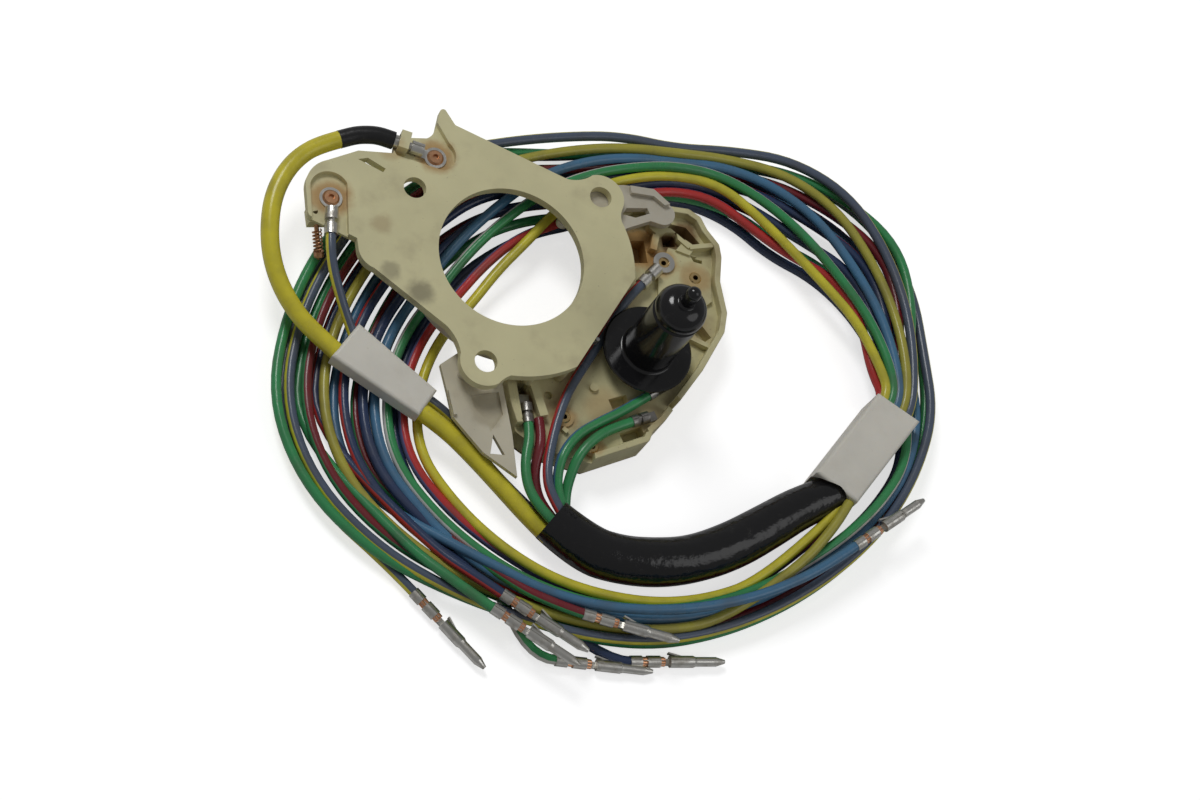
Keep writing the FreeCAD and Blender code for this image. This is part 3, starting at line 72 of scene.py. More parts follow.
def set_camera():
    data = bpy.data.cameras.new("photo_camera")
    data.sensor_width = SENSOR_WIDTH
    data.lens = LENS
    camera = bpy.data.objects.new("photo_camera", data)
    right = Vector(CAMERA_RIGHT).normalized()
    forward = Vector(CAMERA_FORWARD).normalized()
    up = right.cross(forward)
    turned = Matrix((right, up, -forward)).transposed().to_4x4()
    camera.matrix_world = Matrix.Translation(Vector(CAMERA_PLACE)) @ turned
    bpy.context.scene.collection.objects.link(camera)
    bpy.context.scene.camera = camera


# Room: weak even light, a key lamp beyond the plate and a fill lamp at the lower right, in metres and watts.

EVEN_LIGHT = 0.15
MIRRORED_LIGHT = 0.22
SEEN_LIGHT = 1.0
LAMPS = (
    ("key_lamp", (-0.25, 0.45, 0.75), 0.35, 2.9),
    ("fill_lamp", (0.55, -0.35, 0.65), 0.6, 0.9),
)
LAMP_AIM = (0.02, -0.03, 0.0)


def add_lamp(name, place, size, power):
    data = bpy.data.lights.new(name, "AREA")
    data.shape = "DISK"
    data.size = size
    data.energy = power
    lamp = bpy.data.objects.new(name, data)
    lamp.location = place
    aim = Vector(LAMP_AIM) - Vector(place)
    lamp.rotation_euler = aim.to_track_quat("-Z", "Y").to_euler()
    bpy.context.scene.collection.objects.link(lamp)


def set_light():
    scene = bpy.context.scene
    scene.view_settings.view_transform = "Standard"
    world = bpy.data.worlds.new("studio")
    world.use_nodes = True
    scene.world = world
    nodes = world.node_tree.nodes
    links = world.node_tree.links
    background = nodes["Background"]
    background.inputs["Color"].default_value = (1.0, 1.0, 1.0, 1.0)
    path = nodes.new("ShaderNodeLightPath")
    mirrored = nodes.new("ShaderNodeMix")
    mirrored.inputs["A"].default_value = EVEN_LIGHT
    mirrored.inputs["B"].default_value = MIRRORED_LIGHT
    links.new(path.outputs["Is Glossy Ray"], mirrored.inputs["Factor"])
    level = nodes.new("ShaderNodeMix")
    level.inputs["B"].default_value = SEEN_LIGHT
    links.new(mirrored.outputs["Result"], level.inputs["A"])
    links.new(path.outputs["Is Camera Ray"], level.inputs["Factor"])
    links.new(level.outputs["Result"], background.inputs["Strength"])
    for name, place, size, power in LAMPS:
        add_lamp(name, place, size, power)


# Table under the harness: it takes the shadows, and glows a little for the camera so that it stays white.

TABLE_REACH = 2.5
TABLE_GAP = 0.0003
TABLE_GLOW = 0.66
TABLE_WHITE = (0.82, 0.82, 0.83, 1.0)


def add_floor(height):
    mesh = bpy.data.meshes.new("table")
    grid = bmesh.new()
    bmesh.ops.create_grid(grid, x_segments=1, y_segments=1, size=TABLE_REACH)
    bmesh.ops.translate(grid, verts=grid.verts, vec=(0.0, 0.0, height))
    grid.to_mesh(mesh)
    grid.free()
    table = bpy.data.objects.new("table", mesh)
    bpy.context.scene.collection.objects.link(table)
    paint = bpy.data.materials.new("table_white")
    paint.use_nodes = True
    nodes = paint.node_tree.nodes
    links = paint.node_tree.links
    shader = nodes["Principled BSDF"]
    shader.inputs["Base Color"].default_value = TABLE_WHITE
    shader.inputs["Roughness"].default_value = 0.7
    glow = nodes.new("ShaderNodeEmission")
    glow.inputs["Color"].default_value = (1.0, 1.0, 1.0, 1.0)
    path = nodes.new("ShaderNodeLightPath")
    share = nodes.new("ShaderNodeMath")
    share.operation = "MULTIPLY"
    share.inputs[1].default_value = TABLE_GLOW
    links.new(path.outputs["Is Camera Ray"], share.inputs[0])
    links.new(share.outputs[0], glow.inputs["Strength"])
    both = nodes.new("ShaderNodeAddShader")
    links.new(shader.outputs[0], both.inputs[0])
    links.new(glow.outputs[0], both.inputs[1])
    links.new(both.outputs[0], nodes["Material Output"].inputs["Surface"])
    mesh.materials.append(paint)


set_camera()
set_light()
add_floor(cad_box[0][2] - TABLE_GAP)


# Node groups shared by the materials.

def open_group(name, inputs, outputs):
    group = bpy.data.node_groups.new(name, "ShaderNodeTree")
    for label, kind, value in inputs:
        socket = group.interface.new_socket(label, in_out="INPUT", socket_type=kind)
        socket.default_value = value
    for label, kind in outputs:
        group.interface.new_socket(label, in_out="OUTPUT", socket_type=kind)
    start = group.nodes.new("NodeGroupInput")
    end = group.nodes.new("NodeGroupOutput")
    return group, start, end


def noise(tree, scale, detail, vector, rough=0.55):
    node = tree.nodes.new("ShaderNodeTexNoise")
    node.inputs["Detail"].default_value = detail
    node.inputs["Roughness"].default_value = rough
    node.inputs["Scale"].default_value = scale
    tree.links.new(vector, node.inputs["Vector"])
    return node.outputs["Fac"]


def ramp(tree, source, low, high):
    node = tree.nodes.new("ShaderNodeMapRange")
    node.interpolation_type = "SMOOTHSTEP"
    node.inputs["From Min"].default_value = low
    node.inputs["From Max"].default_value = high
    tree.links.new(source, node.inputs["Value"])
    return node.outputs["Result"]


def mix_colour(tree, factor, first, second):
    node = tree.nodes.new("ShaderNodeMix")
    node.data_type = "RGBA"
    for socket, value in ((node.inputs[0], factor), (node.inputs[6], first), (node.inputs[7], second)):
        if isinstance(value, bpy.types.NodeSocket):
            tree.links.new(value, socket)
        else:
            socket.default_value = value if isinstance(value, float) else (*value[:3], 1.0)
    return node.outputs[2]


def math_node(tree, operation, first, second, third=0.0):
    node = tree.nodes.new("ShaderNodeMath")
    node.operation = operation
    for socket, value in zip(node.inputs, (first, second, third)):
        if isinstance(value, bpy.types.NodeSocket):
            tree.links.new(value, socket)
        else:
            socket.default_value = value
    return node.outputs[0]


def make_grime_group():
    """Grime: cloudy dirt and small dark specks over a base colour."""
    group, start, end = open_group("grime", (
        ("Colour", "NodeSocketColor", (0.8, 0.8, 0.8, 1.0)),
        ("Dirt", "NodeSocketColor", (0.2, 0.15, 0.08, 1.0)),
        ("Amount", "NodeSocketFloat", 0.3),
    ), (("Colour", "NodeSocketColor"), ("Mask", "NodeSocketFloat")))
    place = group.nodes.new("ShaderNodeTexCoord").outputs["Object"]
    cloud = ramp(group, noise(group, 90.0, 6.0, place), 0.48, 0.75)
    specks = ramp(group, noise(group, 900.0, 2.0, place), 0.70, 0.76)
    both = math_node(group, "MAXIMUM", cloud, specks)
    mask = math_node(group, "MULTIPLY", both, start.outputs["Amount"])
    colour = mix_colour(group, mask, start.outputs["Colour"], start.outputs["Dirt"])
    group.links.new(colour, end.inputs["Colour"])
    group.links.new(mask, end.inputs["Mask"])
    return group


GRIME = make_grime_group()


def new_material(name, roughness, metallic=0.0):
    material = bpy.data.materials.new(name)
    material.use_nodes = True
    shader = material.node_tree.nodes["Principled BSDF"]
    shader.inputs["Roughness"].default_value = roughness
    shader.inputs["Metallic"].default_value = metallic
    return material, material.node_tree, shader


def set_roughness(tree, shader, mask, low, high):
    """Roughness from low where the mask is 0 to high where it is 1."""
    spread = tree.nodes.new("ShaderNodeMapRange")
    spread.inputs["To Min"].default_value = low
    spread.inputs["To Max"].default_value = high
    tree.links.new(mask, spread.inputs["Value"])
    tree.links.new(spread.outputs["Result"], shader.inputs["Roughness"])


def add_grime(tree, shader, colour, dirt, amount, rough_low, rough_high):
    node = tree.nodes.new("ShaderNodeGroup")
    node.node_tree = GRIME
    node.inputs["Dirt"].default_value = (*dirt, 1.0)
    node.inputs["Amount"].default_value = amount
    if isinstance(colour, bpy.types.NodeSocket):
        tree.links.new(colour, node.inputs["Colour"])
    else:
        node.inputs["Colour"].default_value = (*colour, 1.0)
    tree.links.new(node.outputs["Colour"], shader.inputs["Base Color"])
    set_roughness(tree, shader, node.outputs["Mask"], rough_low, rough_high)


def add_bump(tree, shader, height, distance, strength=1.0):
    bump = tree.nodes.new("ShaderNodeBump")
    bump.inputs["Distance"].default_value = distance
    bump.inputs["Strength"].default_value = strength
    tree.links.new(height, bump.inputs["Height"])
    tree.links.new(bump.outputs["Normal"], shader.inputs["Normal"])


def object_place(tree):
    return tree.nodes.new("ShaderNodeTexCoord").outputs["Object"]


SPOT_WOBBLE = 3.0


def spot(tree, centre, radius, softness):
    """Mask that is 1 inside a ball round centre, in millimetres, and fades over softness."""
    node = tree.nodes.new("ShaderNodeVectorMath")
    node.operation = "DISTANCE"
    tree.links.new(object_place(tree), node.inputs[0])
    node.inputs[1].default_value = [c * MM for c in centre]
    wobble = noise(tree, 300.0, 3.0, object_place(tree))
    shifted = math_node(tree, "MULTIPLY_ADD", wobble, SPOT_WOBBLE * MM, -0.5 * SPOT_WOBBLE * MM)
    reach = math_node(tree, "ADD", node.outputs["Value"], shifted)
    fade = tree.nodes.new("ShaderNodeMapRange")
    fade.interpolation_type = "SMOOTHSTEP"
    fade.inputs["From Min"].default_value = (radius + softness) * MM
    fade.inputs["From Max"].default_value = radius * MM
    tree.links.new(reach, fade.inputs["Value"])
    return fade.outputs["Result"]


def stain_and_shade(tree, colour, stains_and_shade):
    """Lay soft spots, each (centre, radius, softness, colour, strength), over a colour: amber and brown
    stains, and on the body also painted shade in recesses and on an inner wall.
    """
    for centre, radius, softness, tint, strength in stains_and_shade:
        mask = math_node(tree, "MULTIPLY", spot(tree, centre, radius, softness), strength)
        colour = mix_colour(tree, mask, colour, tint)
    return colour


# Materials of the moulded and metal pieces.

LIGHT_DEPTH = (0.003, 0.0025, 0.0018)
LIGHT_DEPTH_SCALE = 0.6
MOULD_GRAIN = 0.00006
METAL_GRAIN = 0.00008
SHEATH_GRAIN = 0.00008


def moulded(name, colour, dirt, amount, stains_and_shade, roughness=0.42, translucent=0.0):
    material, tree, shader = new_material(name, roughness)
    place = object_place(tree)
    tone = ramp(tree, noise(tree, 60.0, 4.0, place), 0.3, 0.75)
    base = mix_colour(tree, tone, colour, [c * 0.9 for c in colour])
    # Stains, and on the body also painted shade, laid over the base colour.
    base = stain_and_shade(tree, base, stains_and_shade)
    add_grime(tree, shader, base, dirt, amount, roughness, roughness + 0.25)
    add_bump(tree, shader, noise(tree, 1500.0, 3.0, place), MOULD_GRAIN, 0.35)
    shader.inputs["Subsurface Weight"].default_value = translucent
    shader.inputs["Subsurface Radius"].default_value = LIGHT_DEPTH
    shader.inputs["Subsurface Scale"].default_value = LIGHT_DEPTH_SCALE
    return material


def metal(name, colour, tarnish, amount, roughness):
    material, tree, shader = new_material(name, roughness, 1.0)
    place = object_place(tree)
    dull = ramp(tree, noise(tree, 420.0, 5.0, place), 0.42, 0.72)
    base = mix_colour(tree, math_node(tree, "MULTIPLY", dull, amount), colour, tarnish)
    tree.links.new(base, shader.inputs["Base Color"])
    set_roughness(tree, shader, dull, roughness, min(roughness + 0.3, 0.8))
    add_bump(tree, shader, noise(tree, 1800.0, 4.0, place), METAL_GRAIN, 0.4)
    return material


AMBER = (0.45, 0.22, 0.05)
# Amber darkened into painted shade, for the body's deepest recesses.
SHADE_AMBER = (0.16, 0.07, 0.02)
SMUDGE = (0.12, 0.10, 0.07)
BROWN = (0.35, 0.22, 0.10)

PLATE_STAINS = (
    ((-44.3, 16.6, -1.0), 3.4, 3.2, AMBER, 0.75),
    ((-15.8, 28.1, -1.0), 3.2, 3.2, AMBER, 0.75),
    ((-32.6, 9.0, 0.0), 1.2, 2.6, BROWN, 0.4),
    ((-25.2, -9.8, 0.0), 1.6, 3.0, SMUDGE, 0.6),
    ((-32.0, -4.0, 0.0), 1.2, 2.6, SMUDGE, 0.45),
    ((-27.5, 30.2, 0.0), 2.2, 2.5, AMBER, 0.35),
)
# Spots on the body: amber and brown stains, and painted shade deep in the upper pocket, at the end of the
# left green lead and on the inner wall right of the knob.
BODY_STAINS_AND_SHADE = (
    ((38.5, 7.0, -11.0), 4.4, 3.4, AMBER, 0.8),
    # Painted shade deep in the upper pocket.
    ((47.5, 8.6, -12.0), 2.8, 2.2, SHADE_AMBER, 0.9),
    ((52.4, 10.6, -12.0), 3.4, 2.2, SHADE_AMBER, 0.85),
    ((44.3, 1.9, -8.3), 2.6, 2.6, AMBER, 0.6),
    ((52.5, -2.3, -8.3), 2.6, 3.0, AMBER, 0.5),
    ((10.5, -40.0, -9.0), 2.4, 2.2, AMBER, 0.6),
    ((16.6, -48.2, -9.0), 2.4, 2.0, AMBER, 0.6),
    ((22.0, -38.0, -9.5), 3.0, 5.0, AMBER, 0.35),
    ((33.0, -41.0, -9.5), 3.0, 4.0, BROWN, 0.45),
    # Brown painted shade on the inner wall right of the knob.
    ((50.0, -16.0, -9.5), 3.0, 4.0, BROWN, 0.4),
    # Painted shade in the dark opening under the end of the left green lead.
    ((0.6, -36.0, -13.0), 4.0, 1.6, SHADE_AMBER, 0.9),
)

PLATE_IVORY = (0.80, 0.75, 0.45)
BODY_IVORY = (0.70, 0.65, 0.37)
CLOUDY_NYLON = (0.62, 0.58, 0.48)
GUARD_NYLON = (0.72, 0.67, 0.52)
LAMINATE = (0.30, 0.17, 0.08)
LABEL_WHITE = (0.88, 0.85, 0.76)
# A darker patch on the wire guard.
GUARD_DARK_PATCH = (
    ((-10.0, -38.5, -7.1), 3.6, 2.0, (0.50, 0.45, 0.32), 0.7),
)
MATERIALS = {
    "plate": moulded("ivory_plate", PLATE_IVORY, (0.30, 0.24, 0.14), 0.32, PLATE_STAINS, 0.42, 0.06),
    "body": moulded("ivory_body", BODY_IVORY, (0.26, 0.17, 0.08), 0.5, BODY_STAINS_AND_SHADE, 0.45, 0.06),
    "clear": moulded("clear_nylon", CLOUDY_NYLON, (0.34, 0.27, 0.16), 0.28, (), 0.3, 0.2),
    "guard": moulded("guard_nylon", GUARD_NYLON, (0.33, 0.28, 0.20), 0.3, GUARD_DARK_PATCH, 0.36, 0.15),
    "board": moulded("laminate_board", LAMINATE, (0.10, 0.06, 0.03), 0.5, (), 0.6),
    "brass": metal("eyelet_brass", (0.72, 0.52, 0.24), (0.30, 0.18, 0.07), 0.5, 0.26),
    "copper": metal("contact_copper", (0.62, 0.34, 0.19), (0.18, 0.10, 0.06), 0.6, 0.32),
    "strands": metal("copper_strands", (0.80, 0.42, 0.24), (0.45, 0.20, 0.10), 0.5, 0.34),
    "tin": metal("tinned_metal", (0.70, 0.69, 0.65), (0.33, 0.30, 0.25), 0.55, 0.28),
    "steel": metal("spring_steel", (0.60, 0.60, 0.60), (0.25, 0.24, 0.22), 0.4, 0.3),
    "dark_tin": metal("dark_terminal", (0.36, 0.35, 0.33), (0.12, 0.11, 0.10), 0.6, 0.35),
}


JET = (0.010, 0.010, 0.011)
DUST = (0.10, 0.095, 0.085)


def black_gloss(name, roughness, bump_scale, bump_depth):
    material, tree, shader = new_material(name, roughness)
    place = object_place(tree)
    dust = ramp(tree, noise(tree, 500.0, 5.0, place), 0.55, 0.8)
    base = mix_colour(tree, math_node(tree, "MULTIPLY", dust, 0.12), JET, DUST)
    tree.links.new(base, shader.inputs["Base Color"])
    set_roughness(tree, shader, dust, roughness, roughness + 0.22)
    add_bump(tree, shader, noise(tree, bump_scale, 4.0, place), bump_depth, 0.6)
    return material


MATERIALS["black"] = black_gloss("knob_black", 0.14, 700.0, 0.00003)
MATERIALS["carrier"] = black_gloss("carrier_black", 0.4, 900.0, 0.00004)
MATERIALS["shrink"] = black_gloss("shrink_black", 0.3, 500.0, 0.00015)
MATERIALS["tape"] = black_gloss("tape_black", 0.12, 260.0, 0.0006)
MATERIALS["label"] = moulded("label_white", LABEL_WHITE, (0.50, 0.46, 0.38), 0.22, (), 0.32, 0.1)


STRIPE_SHARE = 0.5
STRIPE_TURN = 0.25
HANDLING_DIRT = (0.08, 0.07, 0.06)


def insulation(name, first, second):
    """Wire insulation; a second colour, if there is one, runs along one side of the wire."""
    material, tree, shader = new_material(name, 0.3)
    base = first
    if second is not None:
        pick = tree.nodes.new("ShaderNodeSeparateXYZ")
        tree.links.new(tree.nodes.new("ShaderNodeTexCoord").outputs["UV"], pick.inputs[0])
        around = math_node(tree, "ADD", pick.outputs["Y"], STRIPE_TURN)
        around = math_node(tree, "FRACT", around, 0.0)
        low = ramp(tree, around, 0.02, 0.05)
        high = ramp(tree, around, STRIPE_SHARE + 0.03, STRIPE_SHARE)
        base = mix_colour(tree, math_node(tree, "MULTIPLY", low, high), first, second)
    place = object_place(tree)
    cloud = ramp(tree, noise(tree, 160.0, 4.0, place), 0.35, 0.8)
    base = mix_colour(tree, math_node(tree, "MULTIPLY", cloud, 0.25), base, HANDLING_DIRT)
    add_grime(tree, shader, base, (0.12, 0.10, 0.08), 0.3, 0.26, 0.5)
    add_bump(tree, shader, noise(tree, 700.0, 3.0, place), SHEATH_GRAIN, 0.4)
    return material


YELLOW = (0.80, 0.72, 0.06)
THICK_YELLOW = (0.80, 0.70, 0.05)
RED = (0.60, 0.045, 0.045)
DARK_RED = (0.22, 0.02, 0.03)
GREEN = (0.05, 0.34, 0.12)
BLUE = (0.08, 0.22, 0.38)
DARK_BLUE = (0.035, 0.06, 0.14)
VIOLET = (0.15, 0.14, 0.32)
SLATE = (0.10, 0.13, 0.19)
OLIVE = (0.50, 0.46, 0.07)
WHITE = (0.80, 0.79, 0.72)

WIRE_KINDS = {
    "yellow": (YELLOW, None), "thick_yellow": (THICK_YELLOW, None), "yellow_slate": (YELLOW, SLATE),
    "red_slate": (RED, SLATE), "dark_red": (DARK_RED, None), "red_blue": (RED, DARK_BLUE),
    "violet_red": (VIOLET, RED), "green": (GREEN, None), "green_red": (GREEN, DARK_RED),
    "white_green": (WHITE, GREEN), "blue": (BLUE, None), "blue_green": (BLUE, GREEN),
    "dark_blue": (DARK_BLUE, None), "olive": (OLIVE, None),
}
CORD_SLOTS = {
    "thick_yellow": "wire_yellow", "yellow_slate": "wire_yellow", "red_slate": "wire_red",
    "dark_red": "wire_dark_red", "green": "wire_green", "blue_green": "wire_blue",
}
for kind, (first, second) in WIRE_KINDS.items():
    MATERIALS[kind] = insulation("wire_" + kind, first, second)

CAD_FINISH = {
    "mounting_plate": "plate", "switch_body": "body", "contact_board": "board", "signal_yoke": "clear",
    "brass_eyelets": "brass", "carrier_contacts": "brass", "fixed_contacts": "brass",
    "hazard_contacts": "brass", "contact_carrier": "carrier", "hazard_slider": "carrier",
    "hazard_knob": "black", "detent_spring": "steel", "horn_contact_tip": "copper",
    "horn_contact_spring": "copper", "horn_eyelets": "copper", "wire_guard": "guard",
    "horn_terminal_left": "tin", "horn_terminal_top": "tin", "body_terminal_right": "tin",
    "terminal_blue": "dark_tin", "terminal_green": "dark_tin", "slot_terminals": "dark_tin",
    "tape_sleeve": "tape", "heat_shrink": "shrink", "label_left": "label", "label_right": "label",
    "pin_terminals": "tin", "wire_coil": "dark_blue",
}
for node_name, finish in CAD_FINISH.items():
    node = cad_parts[node_name]
    for slot in node.material_slots:
        slot.material = MATERIALS[finish]
    if not node.material_slots:
        node.data.materials.append(MATERIALS[finish])


# Cords: smooth curves along the routes of the frame's tubes, in millimetres here, metres in the scene.

def route_data(name, points, steps):
    """Curve data with one quadratic spline through the given points of a route."""
    data = bpy.data.curves.new(name, "CURVE")
    data.dimensions = "3D"
    spline = data.splines.new("NURBS")
    spline.points.add(len(points) - 1)
    for target, point in zip(spline.points, points):
        target.co = (point[0] * MM, point[1] * MM, point[2] * MM, 1.0)
    spline.order_u = 3
    spline.use_endpoint_u = True
    spline.resolution_u = steps
    return data


def spline_curve(name, points, diameter, sides=3, steps=6):
    data = route_data(name, points, steps)
    data.bevel_depth = diameter * 0.5 * MM
    data.bevel_resolution = sides
    data.use_fill_caps = True
    curve = bpy.data.objects.new(name, data)
    bpy.context.scene.collection.objects.link(curve)
    return curve


MEASURING_STEPS = 12


def curve_length(points):
    """Length of a route's spline, in metres."""
    data = route_data("measure", points, MEASURING_STEPS)
    holder = bpy.data.objects.new("measure", data)
    mesh = bpy.data.meshes.new_from_object(holder)
    total = 0.0
    for edge in mesh.edges:
        first, second = (mesh.vertices[index].co for index in edge.vertices)
        total += (first - second).length
    bpy.data.objects.remove(holder)
    bpy.data.curves.remove(data)
    bpy.data.meshes.remove(mesh)
    return total


def lay_cord(name, points, diameter, kind, stands_for, slot):
    curve = spline_curve(name, points, diameter)
    curve.data.materials.append(MATERIALS[kind])
    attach(curve, "switch")
    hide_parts(stands_for)
    curve_length(points)


def lay_short_wire(name, points, diameter, kind, stands_for, slot):
    """A run too short to count as a cord, laid the same way."""
    short = spline_curve(name, points, diameter)
    short.data.materials.append(MATERIALS[kind])
    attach(short, "switch")
    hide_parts(stands_for)


THIN = 2.6
THICK = 4.6
ROUTES = {
    "lead_red": (THIN, "red_slate", [
        (36.17, -5.06, -6.3), (31.8, -8.8, -6.3), (27.6, -14.0, -7.0), (22.8, -20.2, -7.2),
        (17.4, -26.8, -7.2), (12.0, -33.6, -7.2), (8.0, -41.0, -7.2), (5.2, -48.2, -7.7),
        (3.2, -54.6, -8.0), (3.2, -60.6, -8.2), (6.0, -66.8, -8.3),
    ]),
    "lead_blue": (THIN, "blue_green", [
        (33.4, -35.2, -8.0), (26.6, -38.9, -8.0), (19.4, -41.9, -8.0), (13.2, -44.9, -7.9),
        (8.4, -49.6, -7.9), (6.4, -54.8, -9.4), (6.1, -60.0, -10.6), (7.3, -65.6, -10.9),
    ]),
    "lead_green": (THIN, "green", [
        (27.8, -42.2, -8.0), (22.6, -43.7, -8.0), (17.2, -46.4, -7.2), (12.4, -50.4, -7.6),
        (9.8, -55.5, -10.0), (8.6, -60.0, -12.6), (8.3, -65.0, -13.8),
    ]),
    "lead_green_left": (THIN, "green", [
        (0.4, -41.8, -8.0), (0.2, -45.8, -8.0), (-1.4, -50.0, -8.1), (-2.2, -54.6, -8.4),
        (-1.8, -59.4, -8.6), (0.4, -64.2, -8.6), (3.9, -68.7, -8.6),
    ]),
    "lead_dark_red": (THIN, "dark_red", [
        (3.3, -40.6, -8.15), (3.38, -44.6, -8.15), (2.3, -48.8, -8.15), (0.9, -53.2, -10.0),
        (0.8, -57.9, -11.2), (2.0, -62.8, -11.4), (5.2, -67.5, -11.4),
    ]),
    "horn_wire_upper": (THICK, "thick_yellow", [
        (-40.4, 32.6, -0.8), (-45.7, 31.28, -1.35), (-51.0, 28.1, -1.5), (-55.3, 23.4, -1.7),
        (-58.6, 17.2, -2.2), (-60.1, 10.2, -3.2), (-60.3, 3.2, -4.5), (-58.9, -3.7, -5.8),
        (-55.9, -10.2, -7.1), (-51.5, -16.0, -8.1), (-45.4, -22.0, -8.7),
    ]),
    "horn_wire_lower": (THICK, "thick_yellow", [
        (-27.2, -37.2, -8.7), (-20.6, -41.4, -10.5), (-13.9, -49.2, -11.0), (-7.4, -57.6, -11.6),
        (-2.0, -64.6, -12.3), (2.7, -70.2, -12.5),
    ]),
    "feed_wire_upper": (THIN, "yellow_slate", [
        (-45.94, 5.82, 0.1), (-46.4, 2.78, 0.1), (-46.2, -2.7, -1.2), (-44.3, -9.3, -4.2),
        (-42.4, -14.0, -7.0), (-40.8, -18.2, -8.7),
    ]),
    "feed_wire_lower": (THIN, "yellow_slate", [
        (-24.6, -34.0, -9.2), (-18.9, -37.2, -11.2), (-13.4, -45.0, -13.4), (-7.6, -53.2, -14.2),
        (-1.7, -60.0, -14.8), (4.8, -67.6, -14.8),
    ]),
}
SHORTEST_CORD = 0.03
SHORTEST_CORD_DIAMETERS = 6.0
for cord_name, (diameter, kind, points) in ROUTES.items():
    shortest = max(SHORTEST_CORD, SHORTEST_CORD_DIAMETERS * diameter * MM)
    lay = lay_cord if curve_length(points) >= shortest else lay_short_wire
    lay(cord_name + "_wire", points, diameter, kind, cord_name, CORD_SLOTS[kind])


# Coiled harness: ten wires that leave the right label, run once round and on to their pins.

COIL_OUTER = (
    (-65.0, -33.5), (-59.7, -12.3), (-49.9, 6.7), (-36.4, 22.1), (-14.4, 38.2), (6.9, 40.0), (24.4, 40.4),
    (53.4, 37.5), (74.0, 36.6), (91.0, 36.4), (102.4, 31.8), (112.0, 22.5), (117.4, 12.0), (120.4, 1.5),
    (120.8, -8.1), (119.6, -21.6), (116.9, -41.4), (108.2, -57.4), (96.4, -71.1), (80.0, -83.1),
    (64.2, -91.6), (49.6, -96.6), (35.6, -99.2), (17.1, -99.5), (2.1, -96.5), (-12.5, -91.6), (-29.5, -82.0),
    (-44.0, -72.4), (-53.0, -62.9), (-60.0, -52.0), (-64.0, -41.1),
)
COIL_INNER = (
    (-22.0, -33.0), (-24.0, -46.0), (-17.0, -60.0), (-8.0, -72.0), (5.0, -81.0), (18.0, -85.0), (29.0, -86.8),
    (40.0, -86.6), (53.0, -83.6), (66.0, -78.4), (77.0, -73.6), (86.6, -68.2), (98.8, -56.2), (108.2, -45.2),
    (104.6, -38.4), (97.8, -31.0), (94.4, -14.5), (88.0, -5.0), (80.0, 1.5), (73.0, 9.5), (65.7, 19.5),
    (52.0, 23.4), (38.0, 21.4), (24.0, 14.4), (9.0, 4.0), (-4.0, -7.6), (-15.6, -20.4),
)
COIL_CENTRE = (40.0, -28.0)
FLOOR = -18.0
EDGE_SHARE = 0.55
FLOOR_SHARE = 0.52


def edge_table(points):
    table = []
    for x, y in points:
        dx = x - COIL_CENTRE[0]
        dy = y - COIL_CENTRE[1]
        table.append((math.degrees(math.atan2(dy, dx)) % 360.0, math.hypot(dx, dy)))
    table.sort()
    first, last = table[0], table[-1]
    return [(last[0] - 360.0, last[1])] + table + [(first[0] + 360.0, first[1])]


OUTER_TABLE = edge_table(COIL_OUTER)
INNER_TABLE = edge_table(COIL_INNER)


def between(rows, angle):
    """Values of a table's columns at an angle, eased from row to row."""
    if angle <= rows[0][0]:
        return rows[0][1:]
    for low, high in zip(rows, rows[1:]):
        if angle <= high[0]:
            share = (angle - low[0]) / (high[0] - low[0])
            share = share * share * (3.0 - 2.0 * share)
            return tuple(a + (b - a) * share for a, b in zip(low[1:], high[1:]))
    return rows[-1][1:]


def coil_room(angle):
    """Radius of the innermost wire's centre line and the width left for the others beside it."""
    angle %= 360.0
    inner = between(INNER_TABLE, angle)[0] + THIN * EDGE_SHARE
    outer = between(OUTER_TABLE, angle)[0] - THIN * EDGE_SHARE
    return inner, outer - inner


def coil_place(angle, across, level):
    """Point of the coil: across runs from its inner edge to its outer one, level is a height in wires."""
    inner, width = coil_room(angle)
    radius = inner + width * across
    turned = math.radians(angle)
    height = FLOOR + THIN * (FLOOR_SHARE + level)
    x = COIL_CENTRE[0] + radius * math.cos(turned)
    y = COIL_CENTRE[1] + radius * math.sin(turned)
    return (x, y, height)


# Rows: angle in degrees, innermost and outermost lane of the layer, height in wires, share of the left fan.
UPPER_RUN = (
    (-4.0, 0.10, 0.62, 3.0, 0.0), (22.0, 0.00, 0.74, 3.0, 0.0), (48.0, 0.12, 0.88, 3.0, 0.0),
    (78.0, 0.28, 1.00, 3.0, 0.0), (106.0, 0.24, 1.00, 3.0, 0.0), (132.0, 0.10, 1.00, 2.5, 0.8),
    (156.0, 0.00, 1.00, 1.0, 1.0), (204.0, 0.00, 1.00, 1.0, 1.0), (230.0, 0.04, 0.90, 2.0, 0.1),
    (256.0, 0.00, 0.95, 1.3, 0.0), (296.0, 0.00, 1.00, 1.6, 0.0), (318.0, 0.00, 1.00, 1.85, 0.0),
    (347.0, 0.00, 1.00, 1.9, 0.0), (360.0, 0.40, 0.96, 1.0, 0.0), (382.0, 0.30, 0.95, 1.0, 0.0),
    (408.0, 0.12, 0.88, 1.0, 0.0), (438.0, 0.02, 0.80, 1.0, 0.0), (466.0, 0.04, 0.84, 1.0, 0.0),
    (492.0, 0.10, 0.95, 0.7, 0.8), (516.0, 0.00, 1.00, 0.0, 1.0), (640.0, 0.00, 1.00, 0.0, 1.0),
)
